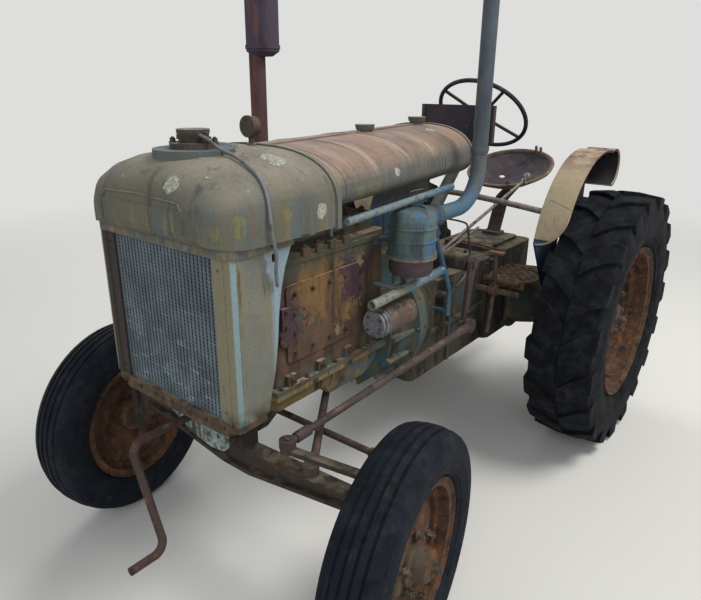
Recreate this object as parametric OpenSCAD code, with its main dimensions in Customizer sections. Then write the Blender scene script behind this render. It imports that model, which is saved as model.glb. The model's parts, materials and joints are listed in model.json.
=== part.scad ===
// Vintage standard tractor: unit frame, four-cylinder engine, pneumatic tyres.
// Millimetres. It faces -Y, its left side is +X and it stands on Z = 0.
// Every module below measures Y from the rear axle line, forward being negative.

/* [Wheels and tyres] */
// Distance between the front and rear axle lines
wheelbase = 1600; // [1560:5:1660]
// Distance between the middle planes of the front tyres
front_track = 1200; // [1190:2:1240]
// Distance between the middle planes of the rear tyres
rear_track = 1200; // [1196:2:1260]
// Outer radius of a front tyre
front_tyre_r = 350; // [340:1:358]
// Section width of a front tyre
front_tyre_w = 160; // [146:2:166]
// Outer radius of a rear tyre at the tips of its lugs
rear_tyre_r = 550; // [540:2:558]
// Section width of a rear tyre
rear_tyre_w = 284; // [276:2:300]
// Flange radius of a front rim
front_rim_r = 226; // [215:1:235]
// Flange radius of a rear rim
rear_rim_r = 326; // [310:1:340]
// Width of a front rim over its flanges
front_rim_w = 124; // [118:2:130]
// Width of a rear rim over its flanges
rear_rim_w = 236; // [226:2:246]
// Thickness of the pressed steel in rims and wheel discs
rim_wall = 8; // [6:1:10]
// Height of a lug of the rear tyre
lug_h = 16; // [12:1:26]
// Number of lugs on each half of a rear tyre
lug_count = 19; // [15:1:21]
// Number of grooves around a front tyre
groove_count = 4; // [3:1:5]

/* [Front axle and steering] */
// How far the front wheels are turned to the left as it is parked, in degrees
rest_steer = 9; // [0:1:12]
// Height of the front axle beam's ends, at their middle line
beam_z = 456; // [452:1:460]
// Depth of the front axle beam at its ends
beam_end_h = 44; // [40:1:50]
// Depth of the front axle beam in its middle
beam_mid_h = 86; // [78:1:90]
// Width of the front axle beam's flanges
beam_w = 56; // [50:1:64]
// Distance from the middle of the tractor to a king pin
kingpin_x = 480; // [474:1:484]
// Radius of a king pin
kingpin_r = 14; // [12:0.5:16]
// Length of the tie-rod arms, from king pin to tie-rod eye
tie_arm = 200; // [180:2:220]
// Radius of the tie rod
tie_rod_r = 11; // [9:0.5:12]
// Length of the steering arm and of the drop arm
steer_arm = 240; // [232:1:246]
// Height of the drag link at its front end
drag_front_z = 572; // [568:1:580]
// Height of the drag link at its rear end, with the wheels straight
drag_rear_z = 629; // [620:1:640]
// Distance of the drop arm's shaft in front of the rear axle
drop_y = 628; // [620:2:640]
// Outer radius of the steering wheel's rim
wheel_r = 206; // [195:1:220]
// Radius of the steering wheel's rim tube
wheel_rim_r = 9; // [7:0.5:11]
// Length of the steering column, from its box to the wheel
column_l = 714; // [700:2:730]
// Angle of the steering column above the floor
column_angle = 45; // [43:0.5:46]

/* [Radiator] */
// Distance of the radiator's front face ahead of the front axle
radiator_ahead = 218; // [212:1:226]
// Width of the opening in front of the radiator core
core_w = 402; // [390:2:420]
// Height of the lower edge of the radiator core
core_z0 = 714; // [708:2:720]
// Height of the upper edge of the radiator core
core_z1 = 1140; // [1134:2:1146]
// Thickness of the radiator core
core_d = 90; // [80:2:100]
// Number of upright tubes in the radiator core
tube_count = 28; // [20:1:34]
// Overall width across the radiator side plates
radiator_w = 526; // [516:2:534]
// Thickness of the radiator's side plates
side_wall = 6; // [4:0.5:8]
// Width of the radiator's top tank
tank_w = 574; // [564:2:586]
// Height of the top of the radiator's top tank
tank_top = 1352; // [1344:2:1360]
// Length of the top tank, from the radiator's front face to the fuel tank
nose_l = 356; // [346:2:366]

/* [Fuel tank] */
// Distance of the fuel tank's rear end ahead of the rear axle
fuel_rear = 612; // [600:2:630]
// Width of the fuel tank at its rear end
fuel_rear_w = 430; // [410:2:450]
// Radius of the fuel tank's caps
fuel_cap_r = 34; // [28:1:38]

/* [Engine] */
// Distance from the radiator's front face to the cylinder block
block_behind = 212; // [206:1:220]
// Length of the cylinder block
block_l = 514; // [508:2:520]
// Width of the cylinder block
block_w = 340; // [330:2:350]
// Height of the crankcase flange
flange_z = 682; // [676:1:688]
// Height of the top of the cylinder block
block_top = 1076; // [1066:2:1086]
// Height of the crankshaft
crank_z = 690; // [684:2:696]
// Height of the deep rear end of the sump
sump_z = 536; // [530:1:542]
// Radius of the flywheel housing's flange
bell_r = 240; // [232:1:246]
// Length of the flywheel housing
bell_l = 208; // [200:2:214]
// Radius of the starter motor
starter_r = 47; // [43:1:49]

/* [Air cleaner and stacks] */
// Radius of the air cleaner's canister
canister_r = 73; // [68:1:76]
// Radius of the air intake pipe
intake_r = 26; // [22:1:28]
// Height of the top of the air intake stack
intake_top = 2010; // [1900:10:2040]
// Radius of the exhaust pipe
exhaust_r = 27; // [24:1:30]
// Radius of the exhaust silencer
silencer_r = 54; // [50:1:58]
// Height of the top of the exhaust pipe
exhaust_top = 2080; // [2060:10:2160]

/* [Rear end] */
// Distance from the middle to the end of a rear axle housing
trumpet_x = 440; // [430:2:446]
// Radius of a rear axle housing near its end
trumpet_r = 84; // [76:1:90]
// Radius of the rear hub's shaft
rear_shaft_r = 40; // [36:1:44]
// Distance of the drawbar's end behind the rear axle
rear_reach = 610; // [600:5:640]
// Radius of the drawbar pin hole
drawbar_hole_r = 14; // [12:0.5:16]

/* [Fenders, seat and handle] */
// Inner side of a fender, from the middle of the tractor
fender_x0 = 402; // [398:1:406]
// Outer side of a fender, from the middle of the tractor
fender_x1 = 520; // [508:2:530]
// Thickness of the fender's sheet
fender_wall = 5; // [4:0.5:6]
// Height of the foot platforms
platform_z = 740; // [730:2:748]
// Radius of the seat pan at its rim
seat_r = 196; // [184:2:204]
// Depth of the seat pan
seat_depth = 72; // [60:2:80]
// How far the seat pan leans back, in degrees
seat_lean = 20; // [16:1:22]
// Length of the starting handle's arm
handle_arm = 290; // [270:5:300]
// Distance of the starting handle's grip end ahead of the front axle
front_reach_ahead = 470; // [460:5:490]

/* [Hidden] */
$fn = 48;

LEFT = 1;
RIGHT = -1;
// Gap between two pieces that seat in each other, and between two that turn
seat_gap = 0.3;
turn_gap = 1.5;

// Main places along Y, from the rear axle line
front_y = -wheelbase;
front_reach = wheelbase + front_reach_ahead;
core_front = front_y - radiator_ahead;
core_back = core_front + core_d;
nose_back = core_front + nose_l;
block_y0 = core_front + block_behind;
block_y1 = block_y0 + block_l;
bell_y1 = block_y1 + bell_l;
gearbox_y1 = -250;
// The rear axle line, so that the whole tractor is centred on Y = 0
rear_axle_y = (front_reach - rear_reach) / 2;

// How far a straight run reaches into a bend, and how much fatter the bend is
bend_lap = 2;
bend_swell = 0.4;

// A straight round bar between two points
module rod(a, b, r, r2 = -1) {
    d = b - a;
    len = norm(d);
    translate(a)
        rotate([0, acos(d.z / len), atan2(d.y, d.x)])
            cylinder(h = len, r1 = r, r2 = r2 < 0 ? r : r2);
}

// A cylinder along X, centred on its middle unless told otherwise
module bar_x(len, r, centred = true) {
    rotate([0, 90, 0])
        cylinder(h = len, r = r, center = centred);
}

// A cylinder that runs back along Y from the place where it is put
module bar_y(len, r) {
    rotate([-90, 0, 0])
        cylinder(h = len, r = r);
}

// A box from its low corner to its high corner
module box(low, high) {
    translate(low)
        cube(high - low);
}

// A box with upright edges rounded
module soft_box(low, high, r) {
    w = high - low;
    translate([low.x + r, low.y + r, low.z])
        linear_extrude(w.z)
            rounded_square(w.x - 2 * r, w.y - 2 * r, r);
}

// A rectangle grown by round corners of radius r
module rounded_square(w, h, r) {
    translate([-r, 0])
        square([w + 2 * r, h]);
    translate([0, -r])
        square([w, h + 2 * r]);
    for (x = [0, w], y = [0, h])
        translate([x, y])
            circle(r);
}

// A flat shape drawn in Y and Z, as thick as w along X from x0
module side_slab(x0, w) {
    translate([x0, 0, 0])
        rotate([90, 0, 90])
            linear_extrude(w)
                children();
}

// A flat shape drawn in X and Z, reaching back by len from y0
module front_slab(y0, len) {
    translate([0, y0 + len, 0])
        rotate([90, 0, 0])
            linear_extrude(len)
                children();
}

// The bend of a pipe where two straight runs meet, as a piece of a ring
module pipe_bend(corner, u, v, bend_r, r) {
    turn = acos(min(1, max(-1, u * v)));
    back = bend_r * tan(turn / 2);
    side = (v - u * (u * v)) / norm(v - u * (u * v));
    centre = corner - u * back + side * bend_r;
    up = cross(u, side);
    // Columns: away from the centre, along the first run, and the axis of the bend
    multmatrix([[-side.x, u.x, up.x, centre.x],
                [-side.y, u.y, up.y, centre.y],
                [-side.z, u.z, up.z, centre.z],
                [0, 0, 0, 1]])
        rotate_extrude(angle = turn)
            translate([bend_r, 0])
                circle(r);
}

// A pipe through a list of corners, each rounded to the same bend radius.
// The straight runs reach a little way into the bends, which are a shade fatter.
module pipe(points, r, bend_r) {
    n = len(points);
    unit = [for (i = [0 : n - 2]) (points[i + 1] - points[i]) / norm(points[i + 1] - points[i])];
    cut = [for (i = [0 : n - 1])
        i == 0 || i == n - 1 ? 0 : bend_r * tan(acos(unit[i - 1] * unit[i]) / 2) - bend_lap];
    for (i = [0 : n - 2])
        rod(points[i] + unit[i] * cut[i], points[i + 1] - unit[i] * cut[i + 1], r);
    if (n > 2)
        for (i = [1 : n - 2])
            pipe_bend(points[i], unit[i - 1], unit[i], bend_r, r + bend_swell);
}

// Puts what was measured from the rear axle line into the part's own frame
module from_axle() {
    translate([0, rear_axle_y, 0])
        children();
}

// Radiator

tube_gap = 4;
tube_depth = 7;
core_edge = 10;

module radiator_core() {
    pitch = core_w / tube_count;
    color("slategray")
        from_axle()
            difference() {
                box([-core_w / 2 - core_edge, core_front, core_z0], [core_w / 2 + core_edge, core_back, core_z1]);
                for (i = [0 : tube_count - 2])
                    box([-core_w / 2 + (i + 1) * pitch - tube_gap / 2, core_front - 1, core_z0 + 10],
                        [-core_w / 2 + (i + 1) * pitch + tube_gap / 2, core_front + tube_depth, core_z1 - 10]);
            }
}

hood_z0 = core_z1 + 22;
lip_l = 16;
lip_proud = 5;
// Steps of the pressed bead over the hood. Columns: width, how far it stands proud
HOOD_BEAD = [[40, 2], [28, 4.5], [14, 6.5]];
hood_bead_y = core_front + 232;

// Section of the hood as a fair arch: straight below the spring line, round above
function hood_arch(w, z0, z1, spring = 0.25, power = 2.6) =
    let (zc = z0 + (z1 - z0) * spring)
    concat([[w / 2, z0]],
        [for (a = [0 : 7.5 : 180])
            [w / 2 * sign(cos(a)) * pow(abs(cos(a)), 2 / power), zc + (z1 - zc) * pow(sin(a), 2 / power)]],
        [[-w / 2, z0]]);

// Sections of the top tank, from front to back.
// Columns: distance behind the front face, share of the width, height of the low edge over the
// hood's, and height of the crown below the top
NOSE = [[-46, 0.64, 20, 98], [-34, 0.80, 8, 62], [-10, 0.92, 3, 34], [26, 0.975, 0, 14],
    [78, 1.0, 0, 2], [218, 1.01, 0, -2], [nose_l - lip_l, 0.995, 0, 0]];
nose_front = core_front + NOSE[0][0];

module radiator_top_tank() {
    color("darkkhaki")
        from_axle() {
            hull()
                for (n = NOSE)
                    front_slab(core_front + n[0], 1)
                        polygon(hood_arch(tank_w * n[1], hood_z0 + n[2], tank_top - n[3]));
            // Lip that covers the fuel tank's front end, and the pressed bead ahead of it
            front_slab(nose_back - lip_l, lip_l)
                polygon(hood_arch(tank_w + 2 * lip_proud, hood_z0 - 4, tank_top + lip_proud));
            for (b = HOOD_BEAD)
                front_slab(hood_bead_y - b[0] / 2, b[0])
                    polygon(hood_arch(tank_w * 1.01 + 2 * b[1], hood_z0, tank_top + 2 + b[1]));
            // Flange on the core and the side plates
            soft_box([-radiator_w / 2 - 6, core_front - 14, core_z1], [radiator_w / 2 + 6, core_front + 214, hood_z0 + 2], 26);
            // Bare raised plate on the front, and the filler's seat
            front_slab(nose_front - 3, 6)
                translate([-150, hood_z0 + 38])
                    rounded_square(300, 36, 8);
            translate([0, filler_y, tank_top - 20])
                cylinder(h = filler_seat_z - tank_top + 20, r = 102);
            translate([0, gauge_y, tank_top - 20])
                cylinder(h = 26, r = 14);
        }
}

module radiator_bottom_tank() {
    color("saddlebrown")
        from_axle() {
            soft_box([-radiator_w / 2, core_front - 10, core_z0 - 20], [radiator_w / 2, core_back + 14, core_z0], 22);
            soft_box([-radiator_w / 2 + 34, core_front - 12, bracket_z1], [radiator_w / 2 - 34, core_back + 4, core_z0 - 20], 22);
            // Bracket that carries the radiator on the axle support
            box([-110, core_back - 40, bracket_z0], [110, block_y0 - 12, bracket_z1]);
        }
}

bracket_z0 = core_z0 - 60;
bracket_z1 = core_z0 - 36;

// Rear edge of a side plate. Columns: distance behind the plate's front, share of its height
SIDE_EDGE = [[200, 1.0], [176, 0.88], [160, 0.74], [150, 0.6], [144, 0.44], [132, 0.26], [112, 0.08], [106, 0]];
side_front = core_front - 6;

module radiator_side_plates() {
    h = core_z1 - core_z0;
    outer_x = radiator_w / 2;
    color("khaki")
        from_axle()
            for (s = [LEFT, RIGHT])
                scale([s, 1, 1])
                    difference() {
                        union() {
                            side_slab(outer_x - side_wall, side_wall)
                                polygon(concat([[side_front, core_z0], [side_front, core_z1]],
                                    [for (e = SIDE_EDGE) [side_front + e[0], core_z0 + h * e[1]]]));
                            box([core_w / 2, side_front, core_z0], [outer_x - 1, core_front - seat_gap, core_z1]);
                            // Pressed bead down the flange and a turned-in rear edge
                            translate([outer_x - 26, side_front, core_z0])
                                cylinder(h = h, r = 4);
                            translate([outer_x - 3, side_front + 26, core_z0])
                                cylinder(h = h, r = 6);
                        }
                        // Slot for the overflow pipe's clip, and two screw holes
                        box([0, side_front + 132, core_z1 - 32], [2 * outer_x, side_front + 152, core_z1 - 10]);
                        for (z = [core_z0 + 30, core_z1 - 30])
                            translate([outer_x - 42, side_front - 1, z])
                                bar_y(12, 4);
                    }
}

filler_y = core_front + 126;
filler_seat_z = tank_top + 8;
filler_cap_z = tank_top + 54;

module filler_cap() {
    color("rosybrown")
        from_axle() {
            translate([0, filler_y, filler_seat_z])
                cylinder(h = 14, r = 60);
            translate([0, filler_y, filler_seat_z + 14])
                cylinder(h = filler_cap_z - filler_seat_z - 24, r1 = 34, r2 = 40);
            translate([0, filler_y, filler_cap_z - 10])
                cylinder(h = 10, r = 41);
            // Studs and nuts of the clamp
            for (s = [-1, 1]) {
                translate([s * 50, filler_y, filler_seat_z + 14])
                    cylinder(h = 26, r = 7);
                translate([s * 50, filler_y, filler_seat_z + 18])
                    cylinder(h = 12, r = 12, $fn = 6);
            }
        }
}

gauge_y = nose_back - 36;
gauge_r = 26;

module temperature_gauge() {
    color("dimgray")
        from_axle() {
            translate([0, gauge_y, tank_top + 6])
                cylinder(h = 26, r = 8);
            translate([0, gauge_y - 12, tank_top + 51])
                bar_y(26, gauge_r);
            translate([0, gauge_y - 15, tank_top + 51])
                bar_y(8, gauge_r + 3);
        }
}

// Fuel tank

// Sections of the fuel tank, from front to back.
// Columns: share of its length, width, low edge, top, and height of its widest line
function fuel_at(t) = [
    t,
    (tank_w - 10) * (1 - t) + fuel_rear_w * t,
    hood_z0 + 16 + 10 * t,
    tank_top - 4 + 26 * t - 20 * t * (1 - t),
    hood_z0 + 78 + 24 * t];

function fuel_ring(t, proud = 0) =
    let (f = fuel_at(t), w = f[1] / 2 + proud, up = f[3] + proud - f[4], down = f[4] - f[2] + proud)
    [for (a = [0 : 9 : 351])
        [w * sign(cos(a)) * pow(abs(cos(a)), 0.84),
         f[4] + (sin(a) > 0 ? up : down) * sign(sin(a)) * pow(abs(sin(a)), 0.84)]];

fuel_l = -fuel_rear - nose_back;
function fuel_y(t) = nose_back + fuel_l * t;

module fuel_tank() {
    color("tan")
        from_axle() {
            hull()
                for (t = [0, 0.5, 1])
                    front_slab(fuel_y(t) - t, 1)
                        polygon(fuel_ring(t));
            // Seams and the rolled rear edge
            for (t = [0.04, 0.38, 0.74])
                front_slab(fuel_y(t), 7)
                    polygon(fuel_ring(t, 1.6));
            front_slab(fuel_y(1) - 10, 14)
                polygon(fuel_ring(1, 4));
            // Bead along the crown
            rod([0, fuel_y(0) + 3, fuel_at(0)[3]], [0, fuel_y(1) - 6, fuel_at(1)[3] - 1], 6);
            for (t = [0.565, 0.945]) {
                z = fuel_at(t)[3];
                translate([0, fuel_y(t), z - 8])
                    cylinder(h = 26, r = fuel_cap_r - 8);
                translate([0, fuel_y(t), z + 12])
                    cylinder(h = 16, r1 = fuel_cap_r - 4, r2 = fuel_cap_r);
            }
        }
}

// Engine

head_top = block_top + 52;
head_x = block_w / 2 - 36;
flange_h = 14;
flange_lap = 18;
CYLINDERS = [70, 186, 302, 418];
// Bosses along the head joint. Column: distance behind the front of the block
HEAD_BOSSES = [58, 129, 188, 246, 311];

module engine_block() {
    side = block_w / 2;
    color("sienna")
        from_axle() {
            soft_box([-side, block_y0, flange_z + flange_h], [side, block_y1, block_top], 24);
            box([-side - flange_lap, block_y0 - 10, flange_z], [side + flange_lap, block_y1, flange_z + flange_h]);
            soft_box([-head_x, block_y0 + 10, block_top], [head_x, block_y1 - 10, head_top], 20);
            for (s = [LEFT, RIGHT])
                scale([s, 1, 1]) {
                    // Side cover, ledge of the head joint and its bosses
                    side_slab(side - 2, 8)
                        translate([block_y0 + 64, flange_z + 96])
                            rounded_square(330, 200, 16);
                    box([side - 30, block_y0 + 30, block_top - 26], [side + 6, block_y1 - 40, block_top - 12]);
                    for (y = HEAD_BOSSES)
                        box([side - 14, block_y0 + y - 13, block_top - 14], [side + 8, block_y0 + y + 13, block_top + 12]);
                    // Round boss and cover plate low at the front
                    translate([side - 2, block_y0 + 40, flange_z + 163])
                        bar_x(14, 24, false);
                    box([side - 2, block_y0 + 26, flange_z + 190], [side + 10, block_y0 + 58, flange_z + 252]);
                    // Pads along the flange
                    for (y = [40, 170, 300, 430])
                        box([side - 2, block_y0 + y, flange_z + flange_h - 1], [side + flange_lap - 4, block_y0 + y + 34, flange_z + 46]);
                }
            // Water outlet to the radiator, water rail and plugs on the head
            translate([0, core_back, head_top - 50])
                bar_y(block_y0 + 20 - core_back, 32);
            translate([head_x + 9, block_y0 + 60, head_top - 18])
                bar_y(290, 12);
            for (y = CYLINDERS) {
                box([head_x - 4, block_y0 + y - 12, head_top - 28], [head_x + 14, block_y0 + y + 12, head_top - 8]);
                translate([40, block_y0 + y + 30, head_top - 1])
                    cylinder(h = 16, r = 12);
            }
        }
}

sump_front_z = 604;
sump_w = 300;
sump_deep_l = 230;

module crankcase_sump() {
    color("olive")
        from_axle() {
            box([-block_w / 2 - flange_lap, block_y0 - 10, flange_z - flange_h], [block_w / 2 + flange_lap, block_y1, flange_z]);
            // Shallow in front, deep at the rear, with its lower edges rounded
            intersection() {
                side_slab(-sump_w / 2, sump_w)
                    polygon([[block_y0, flange_z - flange_h + 1], [block_y0, sump_front_z + 22], [block_y0 + 40, sump_front_z],
                        [block_y1 - sump_deep_l - 40, sump_front_z], [block_y1 - sump_deep_l + 10, sump_z + 14],
                        [block_y1 - sump_deep_l + 40, sump_z], [block_y1 - 26, sump_z], [block_y1 - 1, sump_z + 26],
                        [block_y1 - 1, flange_z - flange_h + 1]]);
                front_slab(block_y0 - 20, block_l + 40)
                    polygon([[-sump_w / 2 - 1, flange_z], [-sump_w / 2 - 1, flange_z - 60], [-sump_w / 2 + 20, sump_z + 36], [-sump_w / 2 + 46, sump_z - 1],
                        [sump_w / 2 - 46, sump_z - 1], [sump_w / 2 - 20, sump_z + 36], [sump_w / 2 + 1, flange_z - 60], [sump_w / 2 + 1, flange_z]]);
            }
            translate([84, block_y1 - 70, sump_z - 10])
                cylinder(h = 14, r = 16, $fn = 6);
        }
}

starter_x = block_w / 2 + 30 + starter_r;
starter_z = 806;
starter_y0 = block_y1 - 145;
starter_l = 170;

module starter_motor() {
    color("gray")
        from_axle() {
            translate([starter_x, starter_y0, starter_z])
                bar_y(starter_l, starter_r);
            translate([starter_x, starter_y0 - 12, starter_z])
                bar_y(13, starter_r - 6);
            translate([starter_x, starter_y0 + 10, starter_z])
                bar_y(12, starter_r + 2.5);
            translate([starter_x, starter_y0 - 20, starter_z])
                bar_y(10, 12);
            box([block_w / 2, starter_y0 + 50, starter_z - 30], [starter_x, starter_y0 + 110, starter_z + 30]);
        }
}

manifold_x = -block_w / 2 - 50;
manifold_z = 970;
manifold_r = 38;
exhaust_y = block_y1 - 88;
exhaust_x = -300;
elbow_top = 1090;

module exhaust_manifold() {
    color("sienna")
        from_axle() {
            for (y = CYLINDERS)
                box([manifold_x, block_y0 + y - 26, manifold_z - 30], [-block_w / 2 - 10, block_y0 + y + 26, manifold_z + 30]);
            translate([manifold_x, block_y0 + 36, manifold_z])
                bar_y(block_l - 60, manifold_r);
            pipe([[manifold_x, exhaust_y, manifold_z], [exhaust_x, exhaust_y, manifold_z], [exhaust_x, exhaust_y, elbow_top]], exhaust_r + 5, 34);
            translate([exhaust_x, exhaust_y, elbow_top - 16])
                cylinder(h = 16, r = exhaust_r + 18);
        }
}

silencer_z0 = 1611;
silencer_z1 = 1980;
silencer_shift = [16, 12, 0];

module exhaust_stack() {
    foot = [exhaust_x, exhaust_y, elbow_top];
    color("brown")
        from_axle() {
            translate(foot)
                cylinder(h = 14, r = exhaust_r + 16);
            translate(foot)
                cylinder(h = silencer_z0 + 4 - elbow_top, r = exhaust_r);
            translate([exhaust_x, exhaust_y, silencer_z0] + silencer_shift) {
                cylinder(h = silencer_z1 - silencer_z0, r = silencer_r);
                translate([0, 0, -14])
                    cylinder(h = 15, r1 = silencer_r - 22, r2 = silencer_r);
                translate([0, 0, silencer_z1 - silencer_z0 - 1])
                    cylinder(h = 15, r1 = silencer_r, r2 = silencer_r - 22);
                for (z = [8, silencer_z1 - silencer_z0 - 20])
                    translate([0, 0, z])
                        cylinder(h = 12, r = silencer_r + 3);
                translate([0, 0, silencer_z1 - silencer_z0])
                    cylinder(h = exhaust_top - silencer_z1, r = exhaust_r);
            }
        }
}

// Air cleaner and pipes

canister_x = block_w / 2 + 49 + canister_r;
canister_y = block_y1 - 26;
canister_lip_z = 1016;
canister_l = 142;
outlet_z = canister_lip_z + 100;
outlet_l = 148;
outlet_r = intake_r + 6;

// Outline of the canister from its bowl up.
// Columns: radius beyond the canister's own, height over the lip
CANISTER = [[-canister_r, -66], [-26, -66], [-10, -60], [-4, -50], [-4, -8], [6, -8], [6, 6], [0, 8],
    [0, 44], [3, 46], [3, 50], [0, 52], [0, 84], [3, 86], [3, 90], [0, 92], [-1, 112], [-8, 128], [-22, canister_l - 4],
    [-44, canister_l], [-canister_r, canister_l]];

module air_cleaner() {
    color("steelblue")
        from_axle() {
            translate([canister_x, canister_y, canister_lip_z])
                rotate_extrude()
                    polygon([for (c = CANISTER) [canister_r + c[0], c[1]]]);
            // Outlet at the rear and its hose clamp, strap to the block
            translate([canister_x, canister_y + 30, outlet_z])
                rotate([-90, 0, 0])
                    cylinder(h = outlet_l - 30 - 20, r1 = outlet_r + 18, r2 = outlet_r);
            translate([canister_x, canister_y + outlet_l - 51, outlet_z])
                bar_y(51, outlet_r);
            for (i = [0 : 3])
                translate([canister_x, canister_y + outlet_l - 46 + i * 11, outlet_z])
                    bar_y(7, outlet_r + 4);
            box([block_w / 2, canister_y - 30, canister_lip_z + 14], [canister_x - canister_r + 14, canister_y + 30, canister_lip_z + 32]);
        }
}

stack_x = canister_x + 8;
stack_y = canister_y + 396;
stack_bend_r = 130;

module intake_stack() {
    start = [canister_x, canister_y + outlet_l, outlet_z];
    color("lightslategray")
        from_axle() {
            translate(start)
                bar_y(14, intake_r + 1.5);
            pipe([start + [0, 6, 0], [stack_x, stack_y, outlet_z + 6], [stack_x, stack_y, intake_top]], intake_r, stack_bend_r);
            translate([stack_x, stack_y, 1292])
                cylinder(h = 8, r = intake_r + 3);
            translate([stack_x, stack_y, 1300])
                cylinder(h = 16, r = intake_r + 5);
            translate([stack_x, stack_y, intake_top])
                cylinder(h = 8, r = 46);
            translate([stack_x, stack_y, intake_top + 8])
                cylinder(h = 34, r1 = 46, r2 = 16);
        }
}

overflow_x = tank_w / 2 + 14;
rail_pipe_x = block_w / 2 + 106;
open_pipe_r = 15;
open_pipe_x = block_w / 2 + 118;
open_pipe_y = block_y1 - 225;
open_pipe_l = 406;
// The bent pipe passes inside the drop arm's sweep
bent_pipe_x = block_w / 2 + 58;

module engine_pipes() {
    color("cadetblue")
        from_axle() {
            // Radiator overflow pipe over the hood, with its clip
            pipe([[60.4, filler_y, filler_seat_z + 7], [tank_w * 0.27, filler_y + 10, tank_top + 14],
                  [overflow_x, filler_y + 30, tank_top - 58], [overflow_x, filler_y + 34, hood_z0 - 34],
                  [overflow_x - 12, filler_y + 52, hood_z0 - 96]], 5, 26);
            box([radiator_w / 2, filler_y + 22, hood_z0 - 44], [overflow_x - 3, filler_y + 42, hood_z0 - 36]);
            // Long pipe under the tank's edge, with its stay
            rod([rail_pipe_x, nose_back + 40, hood_z0 + 2], [rail_pipe_x, nose_back + 604, hood_z0 + 30], 11);
            pipe([[block_w / 2 - 2, block_y0 + HEAD_BOSSES[3], block_top + 12], [block_w / 2 - 2, block_y0 + HEAD_BOSSES[3], hood_z0 - 14],
                  [rail_pipe_x, block_y0 + HEAD_BOSSES[3], hood_z0 + 5]], 5, 14);
            // Open pipe beside the engine, hollow at its front end
            difference() {
                rod([open_pipe_x, open_pipe_y, 898], [open_pipe_x, open_pipe_y + open_pipe_l, 913], open_pipe_r);
                rod([open_pipe_x, open_pipe_y - 10, 898], [open_pipe_x, open_pipe_y + 70, 901], open_pipe_r - 4);
            }
            rod([block_w / 2, block_y1 - 60, 905], [open_pipe_x, block_y1 - 60, 905], 7);
            // Bent pipe behind the air cleaner, with its foot on the gearbox
            pipe([[canister_x - 39, bell_y1 - 44, 1072], [bent_pipe_x, bell_y1 + 142, 790], [bent_pipe_x, bell_y1 + 142, 684]], 9, 60);
            rod([canister_x - 39, bell_y1 - 44, 1076], [canister_x - 41, bell_y1 - 16, 1032], 15);
            rod([gearbox_w / 2, bell_y1 + 142, 700], [bent_pipe_x, bell_y1 + 142, 700], 6);
        }
}

fan_z = 930;
fan_front = core_back + 22;

module cooling_fan() {
    color("darkslategray")
        from_axle() {
            translate([0, fan_front, fan_z])
                bar_y(block_y0 - fan_front, 24);
            translate([0, fan_front + 6, fan_z])
                bar_y(30, 52);
            translate([0, fan_front + 12, fan_z])
                for (a = [45 : 90 : 315])
                    rotate([0, a, 0])
                        rotate([0, 0, 20])
                            box([-26, -2, 0], [26, 4, 180]);
        }
}

// Unit frame behind the engine

gearbox_w = 330;
gearbox_top = 800;
lid_top = 826;

// Outline of the flywheel housing. Columns: radius less than the flange's, distance behind its front
BELL = [[-bell_r, 0], [-34, 0], [-34, 14], [-46, 20], [-26, 128], [-12, 134], [0, 138], [0, 164], [-14, 170], [-14, bell_l], [-bell_r, bell_l]];

module clutch_housing() {
    color("darkolivegreen")
        from_axle() {
            translate([0, block_y1, crank_z])
                rotate([-90, 0, 0])
                    rotate_extrude()
                        polygon([for (b = BELL) [bell_r + b[0], b[1]]]);
            soft_box([-150, block_y1, crank_z], [150, bell_y1, 980], 20);
            soft_box([-110, block_y1 + 30, 979], [110, bell_y1 - 30, 996], 14);
            // Ribs between the front face and the flange
            for (a = [-72 : 24 : 72], s = [0, 180])
                translate([0, block_y1, crank_z])
                    rotate([0, a + s, 0])
                        box([bell_r - 60, 1, -5], [bell_r - 14, 140, 5]);
        }
}

module gearbox_housing() {
    side = gearbox_w / 2;
    color("darkolivegreen")
        from_axle() {
            soft_box([-side, bell_y1, 430], [side, gearbox_y1, gearbox_top], 30);
            translate([0, bell_y1, crank_z])
                bar_y(70, bell_r - 30);
            soft_box([-110, bell_y1 + 84, gearbox_top], [110, gearbox_y1 - 80, lid_top], 20);
            for (s = [LEFT, RIGHT])
                scale([s, 1, 1]) {
                    // Bearing cap and side ribs
                    translate([side - 1, bell_y1 + 176, 733])
                        bar_x(40, 26, false);
                    for (y = [bell_y1 + 250, gearbox_y1 - 60])
                        box([side - 2, y, 440], [side + 14, y + 16, gearbox_top - 20]);
                    box([side - 2, bell_y1 + 90, 596], [side + 14, gearbox_y1 - 20, 612]);
                }
            box([-side - 12, gearbox_y1 - 16, 440], [side + 12, gearbox_y1, gearbox_top - 10]);
        }
}

axle_case_back = 190;

module rear_axle_housing() {
    side = gearbox_w / 2;
    color("dimgray")
        from_axle()
            difference() {
                union() {
                    soft_box([-side, gearbox_y1, 400], [side, axle_case_back, gearbox_top], 40);
                    box([-side - 12, gearbox_y1, 440], [side + 12, gearbox_y1 + 16, gearbox_top - 10]);
                    soft_box([-110, gearbox_y1 + 40, gearbox_top], [110, axle_case_back - 40, lid_top - 10], 30);
                    for (s = [LEFT, RIGHT])
                        translate([s * (side - 1), 0, rear_tyre_r])
                            scale([s, 1, 1])
                                rotate([0, 90, 0]) {
                                    cylinder(h = 24, r = 150);
                                    translate([0, 0, 23])
                                        cylinder(h = trumpet_x - side - 82, r1 = 126, r2 = trumpet_r);
                                    cylinder(h = trumpet_x - side + 1, r = trumpet_r);
                                    translate([0, 0, trumpet_x - side - 23])
                                        cylinder(h = 24, r = trumpet_r + 14);
                                }
                }
                for (s = [LEFT, RIGHT])
                    translate([s * trumpet_x, 0, rear_tyre_r])
                        bar_x(160, rear_shaft_r + 1);
            }
}

drawbar_z0 = 380;
drawbar_h = 30;

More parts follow.
